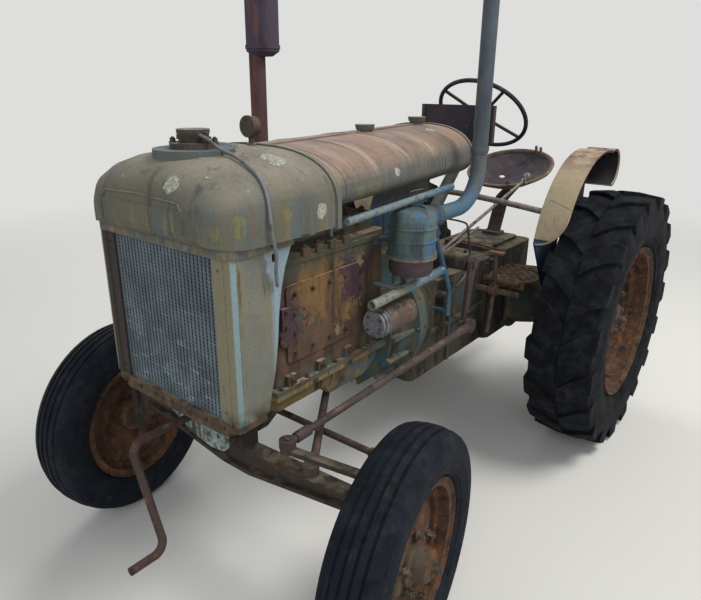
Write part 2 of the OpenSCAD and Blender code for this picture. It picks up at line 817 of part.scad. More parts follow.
module drawbar() {
    color("saddlebrown")
        from_axle()
            difference() {
                union() {
                    box([-45, axle_case_back, drawbar_z0], [45, rear_reach - 45, drawbar_z0 + drawbar_h]);
                    translate([0, rear_reach - 45, drawbar_z0])
                        cylinder(h = drawbar_h, r = 45);
                    box([-80, axle_case_back, drawbar_z0], [80, axle_case_back + 20, 500]);
                    for (x = [-42, 30])
                        side_slab(x, 12)
                            polygon([[axle_case_back + 19, drawbar_z0 + drawbar_h - 1], [axle_case_back + 19, 490],
                                [axle_case_back + 130, drawbar_z0 + drawbar_h - 1]]);
                }
                translate([0, rear_reach - 45, drawbar_z0 - 10])
                    cylinder(h = drawbar_h + 20, r = drawbar_hole_r);
            }
}

// Steering

column_dir = [0, cos(column_angle), sin(column_angle)];
drop_z = drag_rear_z + steer_arm;
drop_x = 252;
drop_t = 14;
box_shaft_r = 34;
column_r = 24;
column_foot = [0, -drop_y, drop_z + 18];
wheel_centre = column_foot + column_dir * column_l;
wheel_shaft_r = 10;
wheel_shaft_l = 76;

module steering_column() {
    color("darkslategray")
        from_axle()
            difference() {
                union() {
                    soft_box([-70, -drop_y - 56, lid_top], [70, -drop_y + 60, drop_z + 48], 20);
                    rod(column_foot, wheel_centre - column_dir * 46, column_r);
                    rod(wheel_centre - column_dir * 90, wheel_centre - column_dir * 46, column_r + 7);
                    translate([0, -drop_y, drop_z])
                        bar_x(drop_x - 12, box_shaft_r, false);
                    translate([70 - 1, -drop_y, drop_z])
                        bar_x(18, box_shaft_r + 8, false);
                }
                translate([drop_x - 48, -drop_y, drop_z])
                    bar_x(60, kingpin_r + turn_gap, false);
                rod(wheel_centre - column_dir * (wheel_shaft_l + 6), wheel_centre, wheel_shaft_r + turn_gap);
            }
}

module dash_panel() {
    color("rosybrown")
        from_axle() {
            box([-167, -342, 1292], [167, -336, 1436]);
            for (s = [LEFT, RIGHT])
                scale([s, 1, 1])
                    box([161, -356, 1292], [167, -341, 1436]);
            for (x = [-20, 6])
                box([x, -fuel_rear + 4, 1300], [x + 14, -341, 1316]);
        }
}

module steering_wheel() {
    color("black")
        from_axle()
            translate(wheel_centre)
                rotate([-(90 - column_angle), 0, 0]) {
                    rotate_extrude($fn = 96)
                        translate([wheel_r - wheel_rim_r, 0])
                            circle(wheel_rim_r);
                    translate([0, 0, -26])
                        cylinder(h = 36, r = 30);
                    translate([0, 0, 9])
                        cylinder(h = 12, r = 18, $fn = 6);
                    for (a = [45 : 90 : 315])
                        rotate([0, 0, a])
                            rod([20, 0, -8], [wheel_r - wheel_rim_r, 0, 0], 7);
                    translate([0, 0, -wheel_shaft_l])
                        cylinder(h = wheel_shaft_l - 20, r = wheel_shaft_r);
                }
}

// The drop arm's lower end swings in the Y-Z plane, the knuckles' arms in the X-Y plane
drop_end = [drop_x, -drop_y - steer_arm * sin(rest_steer), drop_z - steer_arm * cos(rest_steer)];

module drop_arm() {
    color("saddlebrown")
        from_axle() {
            translate([drop_x, -drop_y, drop_z])
                rotate([-rest_steer, 0, 0]) {
                    bar_x(drop_t, 28, false);
                    side_slab(0, drop_t)
                        polygon([[-24, 4], [24, 4], [15, -steer_arm], [-15, -steer_arm]]);
                    translate([0, 0, -steer_arm]) {
                        bar_x(drop_t, 22, false);
                        bar_x(drop_t + 18, 7, false);
                    }
                }
            translate([drop_x - 40, -drop_y, drop_z])
                bar_x(41, kingpin_r, false);
            translate([drop_x + drop_t - 1, -drop_y, drop_z])
                bar_x(13, 15, false);
        }
}

drag_front = [kingpin_x - steer_arm * cos(rest_steer), front_y - steer_arm * sin(rest_steer), drag_front_z];
drag_rear = drop_end + [drop_t + 22, 0, 0];
eye_h = 24;

module drag_link() {
    along = (drag_rear - drag_front) / norm(drag_rear - drag_front);
    color("rosybrown")
        from_axle()
            difference() {
                union() {
                    rod(drag_front + along * 20, drag_rear - along * 14, 11, 15);
                    rod(drag_front + along * 32, drag_front + along * 84, 16);
                    rod(drag_rear - along * 84, drag_rear - along * 20, 17);
                    translate(drag_front - [0, 0, eye_h / 2])
                        cylinder(h = eye_h, r = 24);
                    translate(drag_rear - [12, 0, 0])
                        bar_x(24, 28, false);
                }
                translate(drag_front - [0, 0, 20])
                    cylinder(h = 40, r = 10);
                translate(drag_rear - [14, 0, 0])
                    bar_x(16, 17, false);
            }
}

boss_z0 = beam_z - 34;
boss_z1 = beam_z + 30;
lug_z1 = boss_z1 + 28;
tie_z = boss_z1 - 16;
tie_eye_h = 26;
// Where the tie-rod eyes stand with the wheels turned as parked
tie_eye = [tie_arm * -sin(rest_steer), tie_arm * cos(rest_steer)];

module tie_rod() {
    color("dimgray")
        from_axle()
            translate([tie_eye.x, front_y + tie_eye.y, tie_z])
                difference() {
                    union() {
                        bar_x(2 * kingpin_x - 30, tie_rod_r);
                        for (s = [LEFT, RIGHT]) {
                            translate([s * (kingpin_x - 60), 0, 0])
                                bar_x(60, tie_rod_r + 5);
                            translate([s * kingpin_x, 0, -tie_eye_h / 2])
                                cylinder(h = tie_eye_h, r = 20);
                        }
                    }
                    for (s = [LEFT, RIGHT])
                        translate([s * kingpin_x, 0, -20])
                            cylinder(h = 40, r = 10);
                }
}

radius_x = 295;
beam_end_x = kingpin_x - 24;
pivot_z = 522;
pivot_r = 26;

// Half outline of the beam's web between x0 and x1, drawn down from its top edge
function beam_top(x) = beam_z + 9 + (beam_end_h / 2 - 1) * x / beam_end_x - (beam_end_h / 2 - 18);
function beam_low(x) = beam_top(x) - beam_mid_h + (beam_mid_h - beam_end_h) * max(0, x - 60) / (beam_end_x - 60);

module front_axle() {
    xs = [-beam_end_x, -60, 60, beam_end_x];
    color("dimgray")
        from_axle()
            difference() {
                union() {
                    // An I section, deep in the middle: web, lower flange and upper flange
                    front_slab(front_y - 9, 18)
                        polygon(concat([for (x = xs) [x, beam_low(abs(x))]], [for (i = [3 : -1 : 0]) [xs[i], beam_top(abs(xs[i]))]]));
                    front_slab(front_y - beam_w / 2, beam_w)
                        polygon(concat([for (x = xs) [x, beam_low(abs(x))]], [for (i = [3 : -1 : 0]) [xs[i], beam_low(abs(xs[i])) + 13]]));
                    front_slab(front_y - beam_w / 2, beam_w)
                        polygon(concat([for (x = xs) [x, beam_top(abs(x)) - 13]], [for (i = [3 : -1 : 0]) [xs[i], beam_top(abs(xs[i]))]]));
                    for (s = [LEFT, RIGHT])
                        translate([s * kingpin_x, front_y, boss_z0])
                            cylinder(h = boss_z1 - boss_z0, r = 34);
                    for (s = [LEFT, RIGHT])
                        translate([s * radius_x, front_y, beam_top(radius_x) - 10])
                            cylinder(h = 12, r = 26);
                    // Middle pivot, its boss and the two brackets up to the radiator and the sump
                    translate([0, front_y - 90, pivot_z])
                        bar_y(174, pivot_r);
                    translate([0, front_y - 40, pivot_z])
                        bar_y(80, pivot_r + 20);
                    box([-44, front_y - 34, beam_top(60) - 6], [44, front_y + 34, pivot_z]);
                    bracket(front_y - 92, bracket_z0);
                    bracket(front_y + 46, sump_front_z);
                }
                for (s = [LEFT, RIGHT])
                    translate([s * kingpin_x, front_y, boss_z0 - 10])
                        cylinder(h = 100, r = kingpin_r + 0.5);
            }
}

// A cast bracket that holds the axle's pivot, wide above and narrow below
module bracket(y, top) {
    front_slab(y, 40)
        polygon([[-100, top], [-96, top - 30], [-34, pivot_z - 34], [34, pivot_z - 34], [96, top - 30], [100, top]]);
}

plate_y = core_front + 58;
crank_hole_z = 630;
crank_hole_r = 20;
// Outline of the front plate. Columns: place across, height below its top
PLATE = [[-132, 0], [-132, 34], [-76, 62], [-16, 92], [64, 106], [118, 98], [132, 84], [132, 0]];

module front_plate() {
    color("lightsteelblue")
        from_axle()
            difference() {
                front_slab(plate_y, 8)
                    polygon([for (p = PLATE) [p[0], bracket_z0 - p[1]]]);
                translate([0, plate_y - 10, crank_hole_z])
                    bar_y(30, crank_hole_r);
                // Columns: place across, height below the plate's top
                for (h = [[-87, 35], [87, 35], [58, 80]])
                    translate([h[0], plate_y - 10, bracket_z0 - h[1]])
                        bar_y(30, 9);
            }
}

ball_r = 26;
radius_r = 13;
apex = [0, block_y1 - 93, sump_z - 30];

module radius_rod() {
    foot_z = beam_top(radius_x) + 2;
    color("saddlebrown")
        from_axle() {
            for (s = [LEFT, RIGHT]) {
                rod([s * radius_x, front_y + 8, foot_z + 16], apex + [s * 16, -12, 4], radius_r);
                translate([s * radius_x, front_y, foot_z])
                    cylinder(h = 30, r = 24);
            }
            translate(apex)
                sphere(ball_r);
            box([-26, apex.y - 18, apex.z], [26, apex.y + 18, sump_z]);
        }
}

// Turns what stands on a king pin with the front wheels, about the pin of that side
module steered(side) {
    from_axle()
        translate([side * kingpin_x, front_y, 0])
            rotate([0, 0, rest_steer])
                scale([side, 1, 1])
                    children();
}

spindle_r = 20;
spindle_x = 64;
spindle_l = front_track / 2 - kingpin_x + 50;

module knuckle_body(side) {
    steered(side) {
        // King pin between two lugs that clasp the axle's end
        translate([0, 0, boss_z0 - 30])
            cylinder(h = lug_z1 - boss_z0 + 30, r = kingpin_r);
        for (z = [boss_z0 - 30, boss_z1 + 2]) {
            translate([0, 0, z])
                cylinder(h = 26, r = 30);
            box([0, -22, z], [spindle_x - 2, 22, z + 26]);
        }
        box([40, -26, front_tyre_r - 34], [spindle_x, 26, lug_z1]);
        translate([spindle_x - 4, 0, front_tyre_r])
            bar_x(24, 32, false);
        translate([spindle_x - 4, 0, front_tyre_r])
            bar_x(spindle_l - spindle_x + 4, spindle_r, false);
        // Tie-rod arm and its stud
        box([-16, 16, boss_z1 + 2], [16, tie_arm, boss_z1 + 16]);
        translate([0, tie_arm, boss_z1 + 2])
            cylinder(h = 14, r = 20);
        translate([0, tie_arm, tie_z - tie_eye_h / 2 - 6])
            cylinder(h = boss_z1 + 3 - tie_z + tie_eye_h / 2 + 6, r = 8.5);
    }
}

module knuckle_left() {
    arm_z1 = drag_front_z - eye_h / 2 - turn_gap;
    arm_h = 14;
    color("slategray") {
        knuckle_body(LEFT);
        // Steering arm above the beam and its stud
        steered(LEFT) {
            translate([0, 0, lug_z1 - 1])
                cylinder(h = arm_z1 - lug_z1 + 1, r = 22);
            box([-steer_arm, -14, arm_z1 - arm_h], [0, 14, arm_z1]);
            translate([-steer_arm, 0, arm_z1 - arm_h])
                cylinder(h = arm_h, r = 22);
            translate([-steer_arm, 0, arm_z1 - 1])
                cylinder(h = eye_h + 6, r = 8.5);
        }
    }
}

module knuckle_right() {
    color("slategray")
        knuckle_body(RIGHT);
}

// Wheels, modelled about the origin with the axle along X and the outer side at +X

// Side of a tyre from the tread's edge down to the bead.
// Columns: share of the height above the rim flange, share of the half width
SIDEWALL = [[0.93, 0.86], [0.82, 0.93], [0.66, 0.985], [0.48, 1.0], [0.3, 0.97], [0.14, 0.88], [0.05, 0.79]];

function sidewall(r, w, rim_r) = [for (p = SIDEWALL) [rim_r + (r - rim_r) * p[0], w / 2 * p[1]]];

// Section of a tyre: the tread from edge to edge, then down one side, across the beads and up
function tyre_outline(tread, side, bead_r, bead_w) = concat(
    tread,
    side,
    [[bead_r + 20, bead_w / 2], [bead_r, bead_w / 2], [bead_r, -bead_w / 2], [bead_r + 20, -bead_w / 2]],
    [for (i = [len(side) - 1 : -1 : 0]) [side[i][0], -side[i][1]]]);

// A crowned tread with grooves: across from -X to +X, each groove as deep as d and as wide as g
function grooved_tread(r, half, drop, n, g, d) =
    let (crown = function (x) r - drop * pow(x / half, 2))
    concat([[crown(half), -half]],
        [for (i = [1 : n])
            let (x = -half + 2 * half * i / (n + 1))
            each [[crown(x), x - g / 2], [crown(x) - d, x - g / 3], [crown(x) - d, x + g / 3], [crown(x), x + g / 2]]],
        [[crown(half), half]]);

module ring_x(outline, fn) {
    rotate([0, 90, 0])
        rotate_extrude($fn = fn)
            polygon(outline);
}

// Section of a rim: a barrel with a well, and a flange at each edge.
// Columns: radius below the flange's, share of the half width
BARREL = [[0, 1], [0, 0.88], [18, 0.86], [20, 0.36], [34, 0.26], [34, -0.3], [20, -0.4], [18, -0.86], [0, -0.88], [0, -1]];

function barrel(r, w, wall) = concat(
    [for (b = BARREL) [r - b[0], w / 2 * b[1]]],
    [for (i = [len(BARREL) - 2 : -1 : 1]) [r - BARREL[i][0] - wall, w / 2 * BARREL[i][1] * 0.995]]);

bead_play = 0.6;
front_bead_w = front_rim_w * 0.86 - bead_play;
rear_bead_w = rear_rim_w * 0.86 - bead_play;

module front_wheel_place(side) {
    steered(side)
        translate([front_track / 2 - kingpin_x, 0, front_tyre_r])
            children();
}

module rear_wheel_place(side) {
    from_axle()
        scale([side, 1, 1])
            translate([rear_track / 2, 0, rear_tyre_r])
                children();
}

module front_tyre(side) {
    r = front_tyre_r;
    color("darkslategray")
        front_wheel_place(side)
            ring_x(tyre_outline(
                grooved_tread(r, front_tyre_w * 0.39, 12, groove_count, 9, 7),
                sidewall(r - 10, front_tyre_w, front_rim_r),
                front_rim_r - 18 + bead_play, front_bead_w), 60);
}

// Centre line of a lug in plan, from the middle of the tread to its shoulder.
// Columns: share of the half width, place along the tread as a share of the lugs' pitch
LUG = [[0.03, -0.27], [0.5, 0.06], [0.93, 0.22]];
lug_share = 0.46;
lug_crown = 12;

module rear_tyre(side) {
    r = rear_tyre_r - lug_h;
    half = rear_tyre_w / 2;
    edge = half * 0.95;
    pitch = 2 * PI * rear_tyre_r / lug_count;
    color("black")
        rear_wheel_place(side) {
            ring_x(tyre_outline(
                [for (x = [-0.84, -0.4, 0, 0.4, 0.84]) [r - lug_crown * x * x, half * x]],
                sidewall(r, rear_tyre_w - 10, rear_rim_r),
                rear_rim_r - 18 + bead_play, rear_bead_w), 60);
            // Curved lugs on both halves, half a pitch apart, cut to the crowned outer radius
            intersection() {
                for (i = [0 : lug_count - 1], s = [-1, 1])
                    rotate([(i + (s > 0 ? 0.5 : 0)) * 360 / lug_count, 0, 0])
                        translate([0, 0, r - 50])
                            linear_extrude(lug_h + 60)
                                polygon(concat([for (p = LUG) [s * half * p[0], pitch * (p[1] - lug_share / 2)]],
                                    [for (k = [2 : -1 : 0]) [s * half * LUG[k][0], pitch * (LUG[k][1] + lug_share / 2)]]));
                ring_x([[r - 46, -edge], [rear_tyre_r - lug_crown, -edge], [rear_tyre_r, -half * 0.3],
                    [rear_tyre_r, half * 0.3], [rear_tyre_r - lug_crown, edge], [r - 46, edge]], 60);
            }
        }
}

hub_gap = 10;

module front_rim(side) {
    w = front_rim_w;
    inner = front_rim_r - 34 - rim_wall;
    color("sienna")
        front_wheel_place(side)
            difference() {
                union() {
                    ring_x(barrel(front_rim_r, w, rim_wall), 72);
                    // Dished disc, hub and cap
                    ring_x([[inner + 2, -8], [inner + 2, 2], [inner - 30, 10], [96, 26], [60, 28], [60, 20], [94, 18], [inner - 34, 0]], 72);
                    ring_x([[0, -34], [46, -34], [58, -26], [60, 20], [66, 28], [66, 38], [48, 42], [44, 78], [36, 86], [0, 88]], 48);
                    for (a = [0 : 72 : 288])
                        rotate([a, 0, 0])
                            translate([24, 0, 82])
                                bar_x(14, 9, false);
                }
                translate([-36, 0, 0])
                    bar_x(front_rim_hub_bore, spindle_r + 1, false);
            }
}

front_rim_hub_bore = 36 + spindle_l - (front_track / 2 - kingpin_x) + 6;

module rear_rim(side) {
    w = rear_rim_w;
    inner = rear_rim_r - 34 - rim_wall;
    hub_x0 = trumpet_x + hub_gap - rear_track / 2;
    color("sienna")
        rear_wheel_place(side) {
            ring_x(barrel(rear_rim_r, w, rim_wall), 72);
            ring_x([[inner + 2, -30], [inner + 2, -18], [inner - 60, -4], [140, 14], [100, 16], [100, 2], [136, 0], [inner - 66, -18]], 72);
            ring_x([[0, hub_x0], [92, hub_x0], [96, hub_x0 + 20], [102, 0], [118, 4], [118, 18], [76, 24], [64, 56], [0, 60]], 48);
            translate([trumpet_x - 70 - rear_track / 2, 0, 0])
                bar_x(hub_gap + 72, rear_shaft_r, false);
            for (a = [0 : 45 : 315])
                rotate([a, 0, 0])
                    translate([14, 0, 128])
                        bar_x(18, 11, false);
        }
}

module front_tyre_left() front_tyre(LEFT);
module front_tyre_right() front_tyre(RIGHT);
module front_rim_left() front_rim(LEFT);
module front_rim_right() front_rim(RIGHT);
module rear_tyre_left() rear_tyre(LEFT);
module rear_tyre_right() rear_tyre(RIGHT);
module rear_rim_left() rear_rim(LEFT);
module rear_rim_right() rear_rim(RIGHT);

// Fenders, seat and platform

fender_r = 425;
fender_arc = [10, 836];
curl_r = 80;
curl_centre = [122, 1180];

// Outline of the fender's side in the Y-Z plane: the arc, the rear curl and the panel below
module fender_outline(inset) {
    intersection() {
        translate(fender_arc)
            circle(fender_r - inset, $fn = 96);
        translate([-500, 925])
            square([500 + curl_centre.x, 400]);
    }
    polygon([[-405 + inset, 926], [-266 + inset, 716], [-206, 716], [-80, 1060], [70, 1100], [40, 930]]);
    translate(curl_centre)
        circle(curl_r - inset);
}

module fenders() {
    color("tan")
        from_axle()
            for (s = [LEFT, RIGHT])
                scale([s, 1, 1])
                    difference() {
                        union() {
                            side_slab(fender_x0, fender_x1 - fender_x0)
                                fender_outline(0);
                            // Stay from the axle housing
                            box([fender_x0 - 12, -60, rear_tyre_r], [fender_x0 + 1, 60, 1000]);
                        }
                        side_slab(fender_x0 + fender_wall, fender_x1)
                            fender_outline(fender_wall);
                        translate([fender_x0 + 40, 0, rear_tyre_r])
                            bar_x(400, rear_tyre_r + 12, false);
                        translate([fender_x0 - 30, 0, rear_tyre_r])
                            bar_x(80, trumpet_r + seat_gap, false);
                    }
}

seat_place = [0, 226, 1126];
seat_wall = 4;
seat_pad_l = 34;

// Inside of the seat pan: depth at radius r
function seat_dish(r) = -seat_depth * (1 - pow(r / seat_r, 2.6));

module seat_frame() {
    from_axle()
        translate(seat_place)
            rotate([seat_lean, 0, 0])
                children();
}

module seat() {
    color("rosybrown")
        seat_frame()
            difference() {
                union() {
                    rotate_extrude($fn = 64)
                        polygon(concat([for (r = [0 : seat_r / 10 : seat_r]) [r, seat_dish(r)]],
                            [for (r = [seat_r : -seat_r / 10 : 0]) [r, seat_dish(r) - seat_wall]]));
                    // Rolled rim, pad for the spring, and two stubs behind
                    rotate_extrude($fn = 64)
                        translate([seat_r, -2])
                            circle(9);
                    translate([0, 0, -seat_depth - seat_pad_l])
                        cylinder(h = seat_pad_l - 1, r = 40);
                    for (x = [60, 88])
                        translate([x, sqrt(seat_r * seat_r - x * x) - 4, -14])
                            cylinder(h = 50, r = 7);
                }
                // Two drain holes
                for (x = [-60, 60])
                    translate([x, 30, -seat_depth - 20])
                        cylinder(h = seat_depth, r = 14);
            }
}

spring_t = 12;
spring_w = 64;
spring_foot_y = 96;

module seat_spring() {
    top = -seat_depth - seat_pad_l;
    color("dimgray") {
        seat_frame()
            box([-spring_w / 2, -104, top - spring_t], [spring_w / 2, 50, top]);
        // Leg down to the axle case, from the leaf's front end
        from_axle() {
            a = [seat_place.y - 104 * cos(seat_lean) - (top - spring_t / 2) * sin(seat_lean),
                 seat_place.z - 104 * sin(seat_lean) + (top - spring_t / 2) * cos(seat_lean)];
            side_slab(-spring_w / 2, spring_w)
                polygon([[a[0] - 6, a[1] + 4], [a[0] + 10, a[1] + 4], [spring_foot_y + 8, lid_top - 8], [spring_foot_y - 8, lid_top - 8]]);
            soft_box([-46, spring_foot_y - 36, lid_top - 10], [46, spring_foot_y + 36, lid_top + 4], 10);
        }
    }
}

platform_y0 = -345;
platform_y1 = -70;
platform_x1 = fender_x0 - 14;
platform_corner = 46;
shaft_z = 690;
shaft_y = -372;
pedal_rise = 176;

module footplates() {
    side = gearbox_w / 2;
    color("rosybrown")
        from_axle()
            for (s = [LEFT, RIGHT])
                scale([s, 1, 1]) {
                    difference() {
                        union() {
                            translate([0, 0, platform_z - 6])
                                linear_extrude(6)
                                    polygon([[side + 16, platform_y0], [platform_x1 - platform_corner, platform_y0],
                                        [platform_x1, platform_y0 + platform_corner], [platform_x1, platform_y1],
                                        [side + 130, platform_y1], [side + 50, platform_y1 - 24], [side + 16, platform_y1 - 50]]);
                            // Curled front edge, and two brackets on the housings
                            translate([side + 16, platform_y0, platform_z - 12])
                                bar_x(platform_x1 - platform_corner - side - 16, 12, false);
                            for (y = [platform_y0 + 6, platform_y1 - 78])
                                box([side, y, platform_z - 36], [platform_x1 - 30, y + 10, platform_z - 5]);
                        }
                        // Rows of slots, each row shifted by half a pitch
                        for (row = [0 : 8], i = [0 : 3])
                            box([side + 30 + i * 44 + (row % 2) * 18, platform_y0 + 26 + row * 24, platform_z - 10],
                                [side + 54 + i * 44 + (row % 2) * 18, platform_y0 + 38 + row * 24, platform_z + 10]);
                    }
                    // Pedal on a cross shaft, with its foot pad
                    translate([side, shaft_y, shaft_z])
                        bar_x(190, 13, false);
                    translate([side + 60, shaft_y, shaft_z])
                        bar_x(34, 24, false);
                    rod([side + 77, shaft_y, shaft_z], [side + 92, shaft_y - 62, shaft_z - 170], 9);
                    rod([side + 77, shaft_y, shaft_z], [side + 92, shaft_y - 40, shaft_z + pedal_rise], 9);
                    box([side + 60, shaft_y - 56, shaft_z + pedal_rise - 4],
                        [side + 126, shaft_y - 24, shaft_z + pedal_rise + 4]);
                }
}

lever_foot = [50, -540, lid_top];
lever_knob = [190, -25, 1115];

module control_levers() {
    color("silver")
        from_axle() {
            translate(lever_foot)
                cylinder(h = 26, r1 = 26, r2 = 14);
            rod(lever_foot + [0, 0, 20], lever_knob, 7);
            rod(lever_foot + [6, 6, 10], lever_foot + (lever_knob - lever_foot) * 0.46 + [0, 0, -26], 5);
            // Ring at the lever's end
            translate(lever_knob)
                rotate([0, 90, 0])
                    rotate_extrude()
                        translate([19, 0])
                            circle(5);
        }
}

module starting_handle() {
    bend_y = front_y - front_reach_ahead + 105;
    swing = 22;
    low = [handle_arm * sin(swing), bend_y, crank_hole_z - handle_arm * cos(swing)];
    color("sienna")
        from_axle() {
            pipe([[0, front_y - 92, crank_hole_z], [0, bend_y, crank_hole_z], low,
                  [low.x, front_y - front_reach_ahead, low.z]], 11, 34);
            translate([0, front_y - 120, crank_hole_z])
                bar_y(28, 20);
        }
}

radiator_core();
radiator_top_tank();
radiator_bottom_tank();
radiator_side_plates();
filler_cap();
temperature_gauge();
fuel_tank();
engine_block();
crankcase_sump();
starter_motor();
exhaust_manifold();
exhaust_stack();
air_cleaner();
intake_stack();
engine_pipes();
cooling_fan();
clutch_housing();
gearbox_housing();
rear_axle_housing();
drawbar();
steering_column();
dash_panel();
steering_wheel();
drop_arm();
drag_link();
tie_rod();
front_axle();
front_plate();
radius_rod();
knuckle_left();
knuckle_right();
front_tyre_left();
front_rim_left();
front_tyre_right();
front_rim_right();
rear_tyre_left();
rear_rim_left();
rear_tyre_right();
rear_rim_right();
fenders();
seat();
seat_spring();
footplates();
control_levers();
starting_handle();
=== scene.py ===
"""Finish and picture of a vintage tractor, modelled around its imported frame."""

import json
import math

import bmesh
import bpy
from mathutils import Matrix, Vector
from mathutils.bvhtree import BVHTree

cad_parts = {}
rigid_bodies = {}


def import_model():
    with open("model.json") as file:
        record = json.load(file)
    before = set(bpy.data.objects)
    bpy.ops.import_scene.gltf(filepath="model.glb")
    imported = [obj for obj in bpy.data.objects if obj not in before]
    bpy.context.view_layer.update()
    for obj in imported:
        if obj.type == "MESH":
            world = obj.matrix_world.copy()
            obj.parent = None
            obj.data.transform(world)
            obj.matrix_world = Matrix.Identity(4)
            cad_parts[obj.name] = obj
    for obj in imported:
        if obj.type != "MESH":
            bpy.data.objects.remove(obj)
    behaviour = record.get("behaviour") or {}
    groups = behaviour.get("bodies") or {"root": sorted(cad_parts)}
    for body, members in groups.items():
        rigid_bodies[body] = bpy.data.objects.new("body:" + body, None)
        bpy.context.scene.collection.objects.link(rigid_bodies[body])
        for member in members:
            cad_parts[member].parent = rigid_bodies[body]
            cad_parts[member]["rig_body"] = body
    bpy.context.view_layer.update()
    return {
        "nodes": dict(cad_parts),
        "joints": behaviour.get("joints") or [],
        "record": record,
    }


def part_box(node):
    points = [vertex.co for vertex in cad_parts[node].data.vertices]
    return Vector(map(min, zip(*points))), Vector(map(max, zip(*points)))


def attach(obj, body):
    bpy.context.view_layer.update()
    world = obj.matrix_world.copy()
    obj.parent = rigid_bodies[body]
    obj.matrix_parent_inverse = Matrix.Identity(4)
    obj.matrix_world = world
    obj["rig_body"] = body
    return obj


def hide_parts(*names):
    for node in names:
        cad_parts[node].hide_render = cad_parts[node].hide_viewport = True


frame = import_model()

MM = 0.001

# Directions in the frame's own axes, named as from the tractor's seat
LEFT = Vector((1, 0, 0))
RIGHT = Vector((-1, 0, 0))
AHEAD = Vector((0, -1, 0))
BEHIND = Vector((0, 1, 0))
ABOVE = Vector((0, 0, 1))

# Camera, as the photograph was taken. Metres and degrees, in the frame's own axes
CAMERA_PLACE = (1.2659, -1.9342, 1.5126)
CAMERA_YAW = 38.58
CAMERA_PITCH = -19.61
CAMERA_ROLL = 0.40
FOCAL_PX = 602.18
PRINCIPAL_PX = (345.98, 298.70)
PHOTO_PX = (701, 600)
SENSOR_MM = 36.0

# Lamps. Columns: name, place and size in metres, power in watts, colour
LAMPS = [
    ("key_lamp", (3.5, 1.2, 6.0), 3.0, 290, (1.0, 0.97, 0.92)),
    ("fill_lamp", (3.0, -5.0, 3.5), 4.0, 105, (0.93, 0.96, 1.0)),
    ("back_lamp", (-4.0, 3.0, 4.0), 3.0, 90, (1.0, 1.0, 1.0)),
]
LAMP_TARGET = (0, 0, 0.8)

# Light of the world on the object, colours of the floor and the backdrop, half the floor's width, and how
# far out the floor starts and ends to take on the backdrop's colour, in metres
WORLD_LIGHT = 0.45
FLOOR = "D9D9D6"
BACKDROP = "DEDEDC"
FLOOR_HALF = 60
FLOOR_FADE = (2.6, 7.0)

# Pitch of the core's dark gaps in metres, a painted shade in the openings between its tubes and fins, across
# as the gaps between its tubes and upwards as its fins, and the values of the wave that draws them where a
# gap starts and where it is darkest
CORE_DOT_X = 402 * MM / 28
CORE_DOT_Z = 10 * MM
CORE_DOT_WAVE = (-0.1, 0.7)

# Fins: the border of the core that they leave free, how far back they start, their depth and thickness
FIN_MARGIN = 12 * MM
FIN_BACK = 1.4 * MM
FIN_DEEP = 5.5 * MM
FIN_THICK = 1.6 * MM

# Border of the nose's bare panel from its right end to its left, in metres across and up, its raised bead's
# radius and steps in each stretch, and the line ahead that it is cast from
NOSE_PANEL = [(-0.172, 1.168), (-0.168, 1.240), (-0.152, 1.260), (0.0, 1.266),
              (0.140, 1.258), (0.158, 1.240), (0.162, 1.168)]
NOSE_BEAD_R = 3.2 * MM
NOSE_BEAD_STEPS = 6
NOSE_CAST_Y = -1.2

# Pressed bead over the hood: its middle, half width, height, how deep its lower half is sunk and how deep
# the whole bead is bedded, its steps over the hood and round its own section, and the line that it is
# cast from, between two angles in degrees
HOOD_BEAD_Y = -0.859
HOOD_BEAD_HALF = 42 * MM
HOOD_BEAD_HIGH = 10.2 * MM
HOOD_BEAD_SUNK = 3 * MM
HOOD_BEAD_BED = 0.6 * MM
HOOD_BEAD_STEPS = 60
HOOD_BEAD_SIDES = 32
HOOD_AXIS_Z = 1.168
HOOD_ARC = (0, 180)

# Soldered seams round the fuel tank, and the line that they are cast from, between two angles in degrees
TANK_SEAMS = (-0.545, -0.318)
TANK_SEAM_R = 1.6 * MM
TANK_SEAM_POINTS = 45
TANK_AXIS_Z = 1.285
TANK_ARC = (-20, 200)

# Route of the radiator's overflow pipe, which the copy of the pipes leaves out ahead of OVERFLOW_BACK
OVERFLOW_BACK = -0.850
OVERFLOW = [(0.036, -0.972, 1.394), (0.060, -0.968, 1.387), (0.085, -0.962, 1.368), (0.112, -0.955, 1.356),
            (0.150, -0.960, 1.350), (0.196, -0.970, 1.337), (0.243, -0.974, 1.314), (0.277, -0.984, 1.279),
            (0.293, -0.992, 1.240), (0.297, -0.993, 1.200), (0.296, -0.985, 1.165), (0.291, -0.972, 1.130),
            (0.284, -0.970, 1.100), (0.279, -0.964, 1.070), (0.272, -0.955, 1.050)]

# Thin rods and stays. Columns: name, points in metres, radius in mm, slot, finish
RODS = [
    ("column_stay", [(0.412, 0.396, 1.041), (0.158, 0.374, 1.076), (0.012, 0.318, 1.090)],
     12, "lever_steel", None),
    ("clutch_rod", [(0.020, 0.214, 0.998), (0.132, 0.256, 0.992), (0.150, 0.268, 0.965),
                    (0.150, 0.303, 0.799)], 4, "axle_iron", None),
    ("cap_rod", [(0.204, 0.020, 0.738), (0.206, 0.110, 0.776), (0.196, 0.180, 0.790),
                 (0.164, 0.236, 0.776)], 3.5, "lever_steel", None),
    ("cross_bar_front", [(-0.100, 0.528, 0.822), (0.110, 0.528, 0.822), (0.205, 0.500, 0.812)],
     6, "handle_steel", None),
    ("cross_bar_rear", [(-0.100, 0.560, 0.822), (0.110, 0.560, 0.822), (0.205, 0.532, 0.812)],
     6, "handle_steel", None),
    ("overflow_pipe", OVERFLOW, 4.5, "pipe_steel", "dull_zinc"),
]

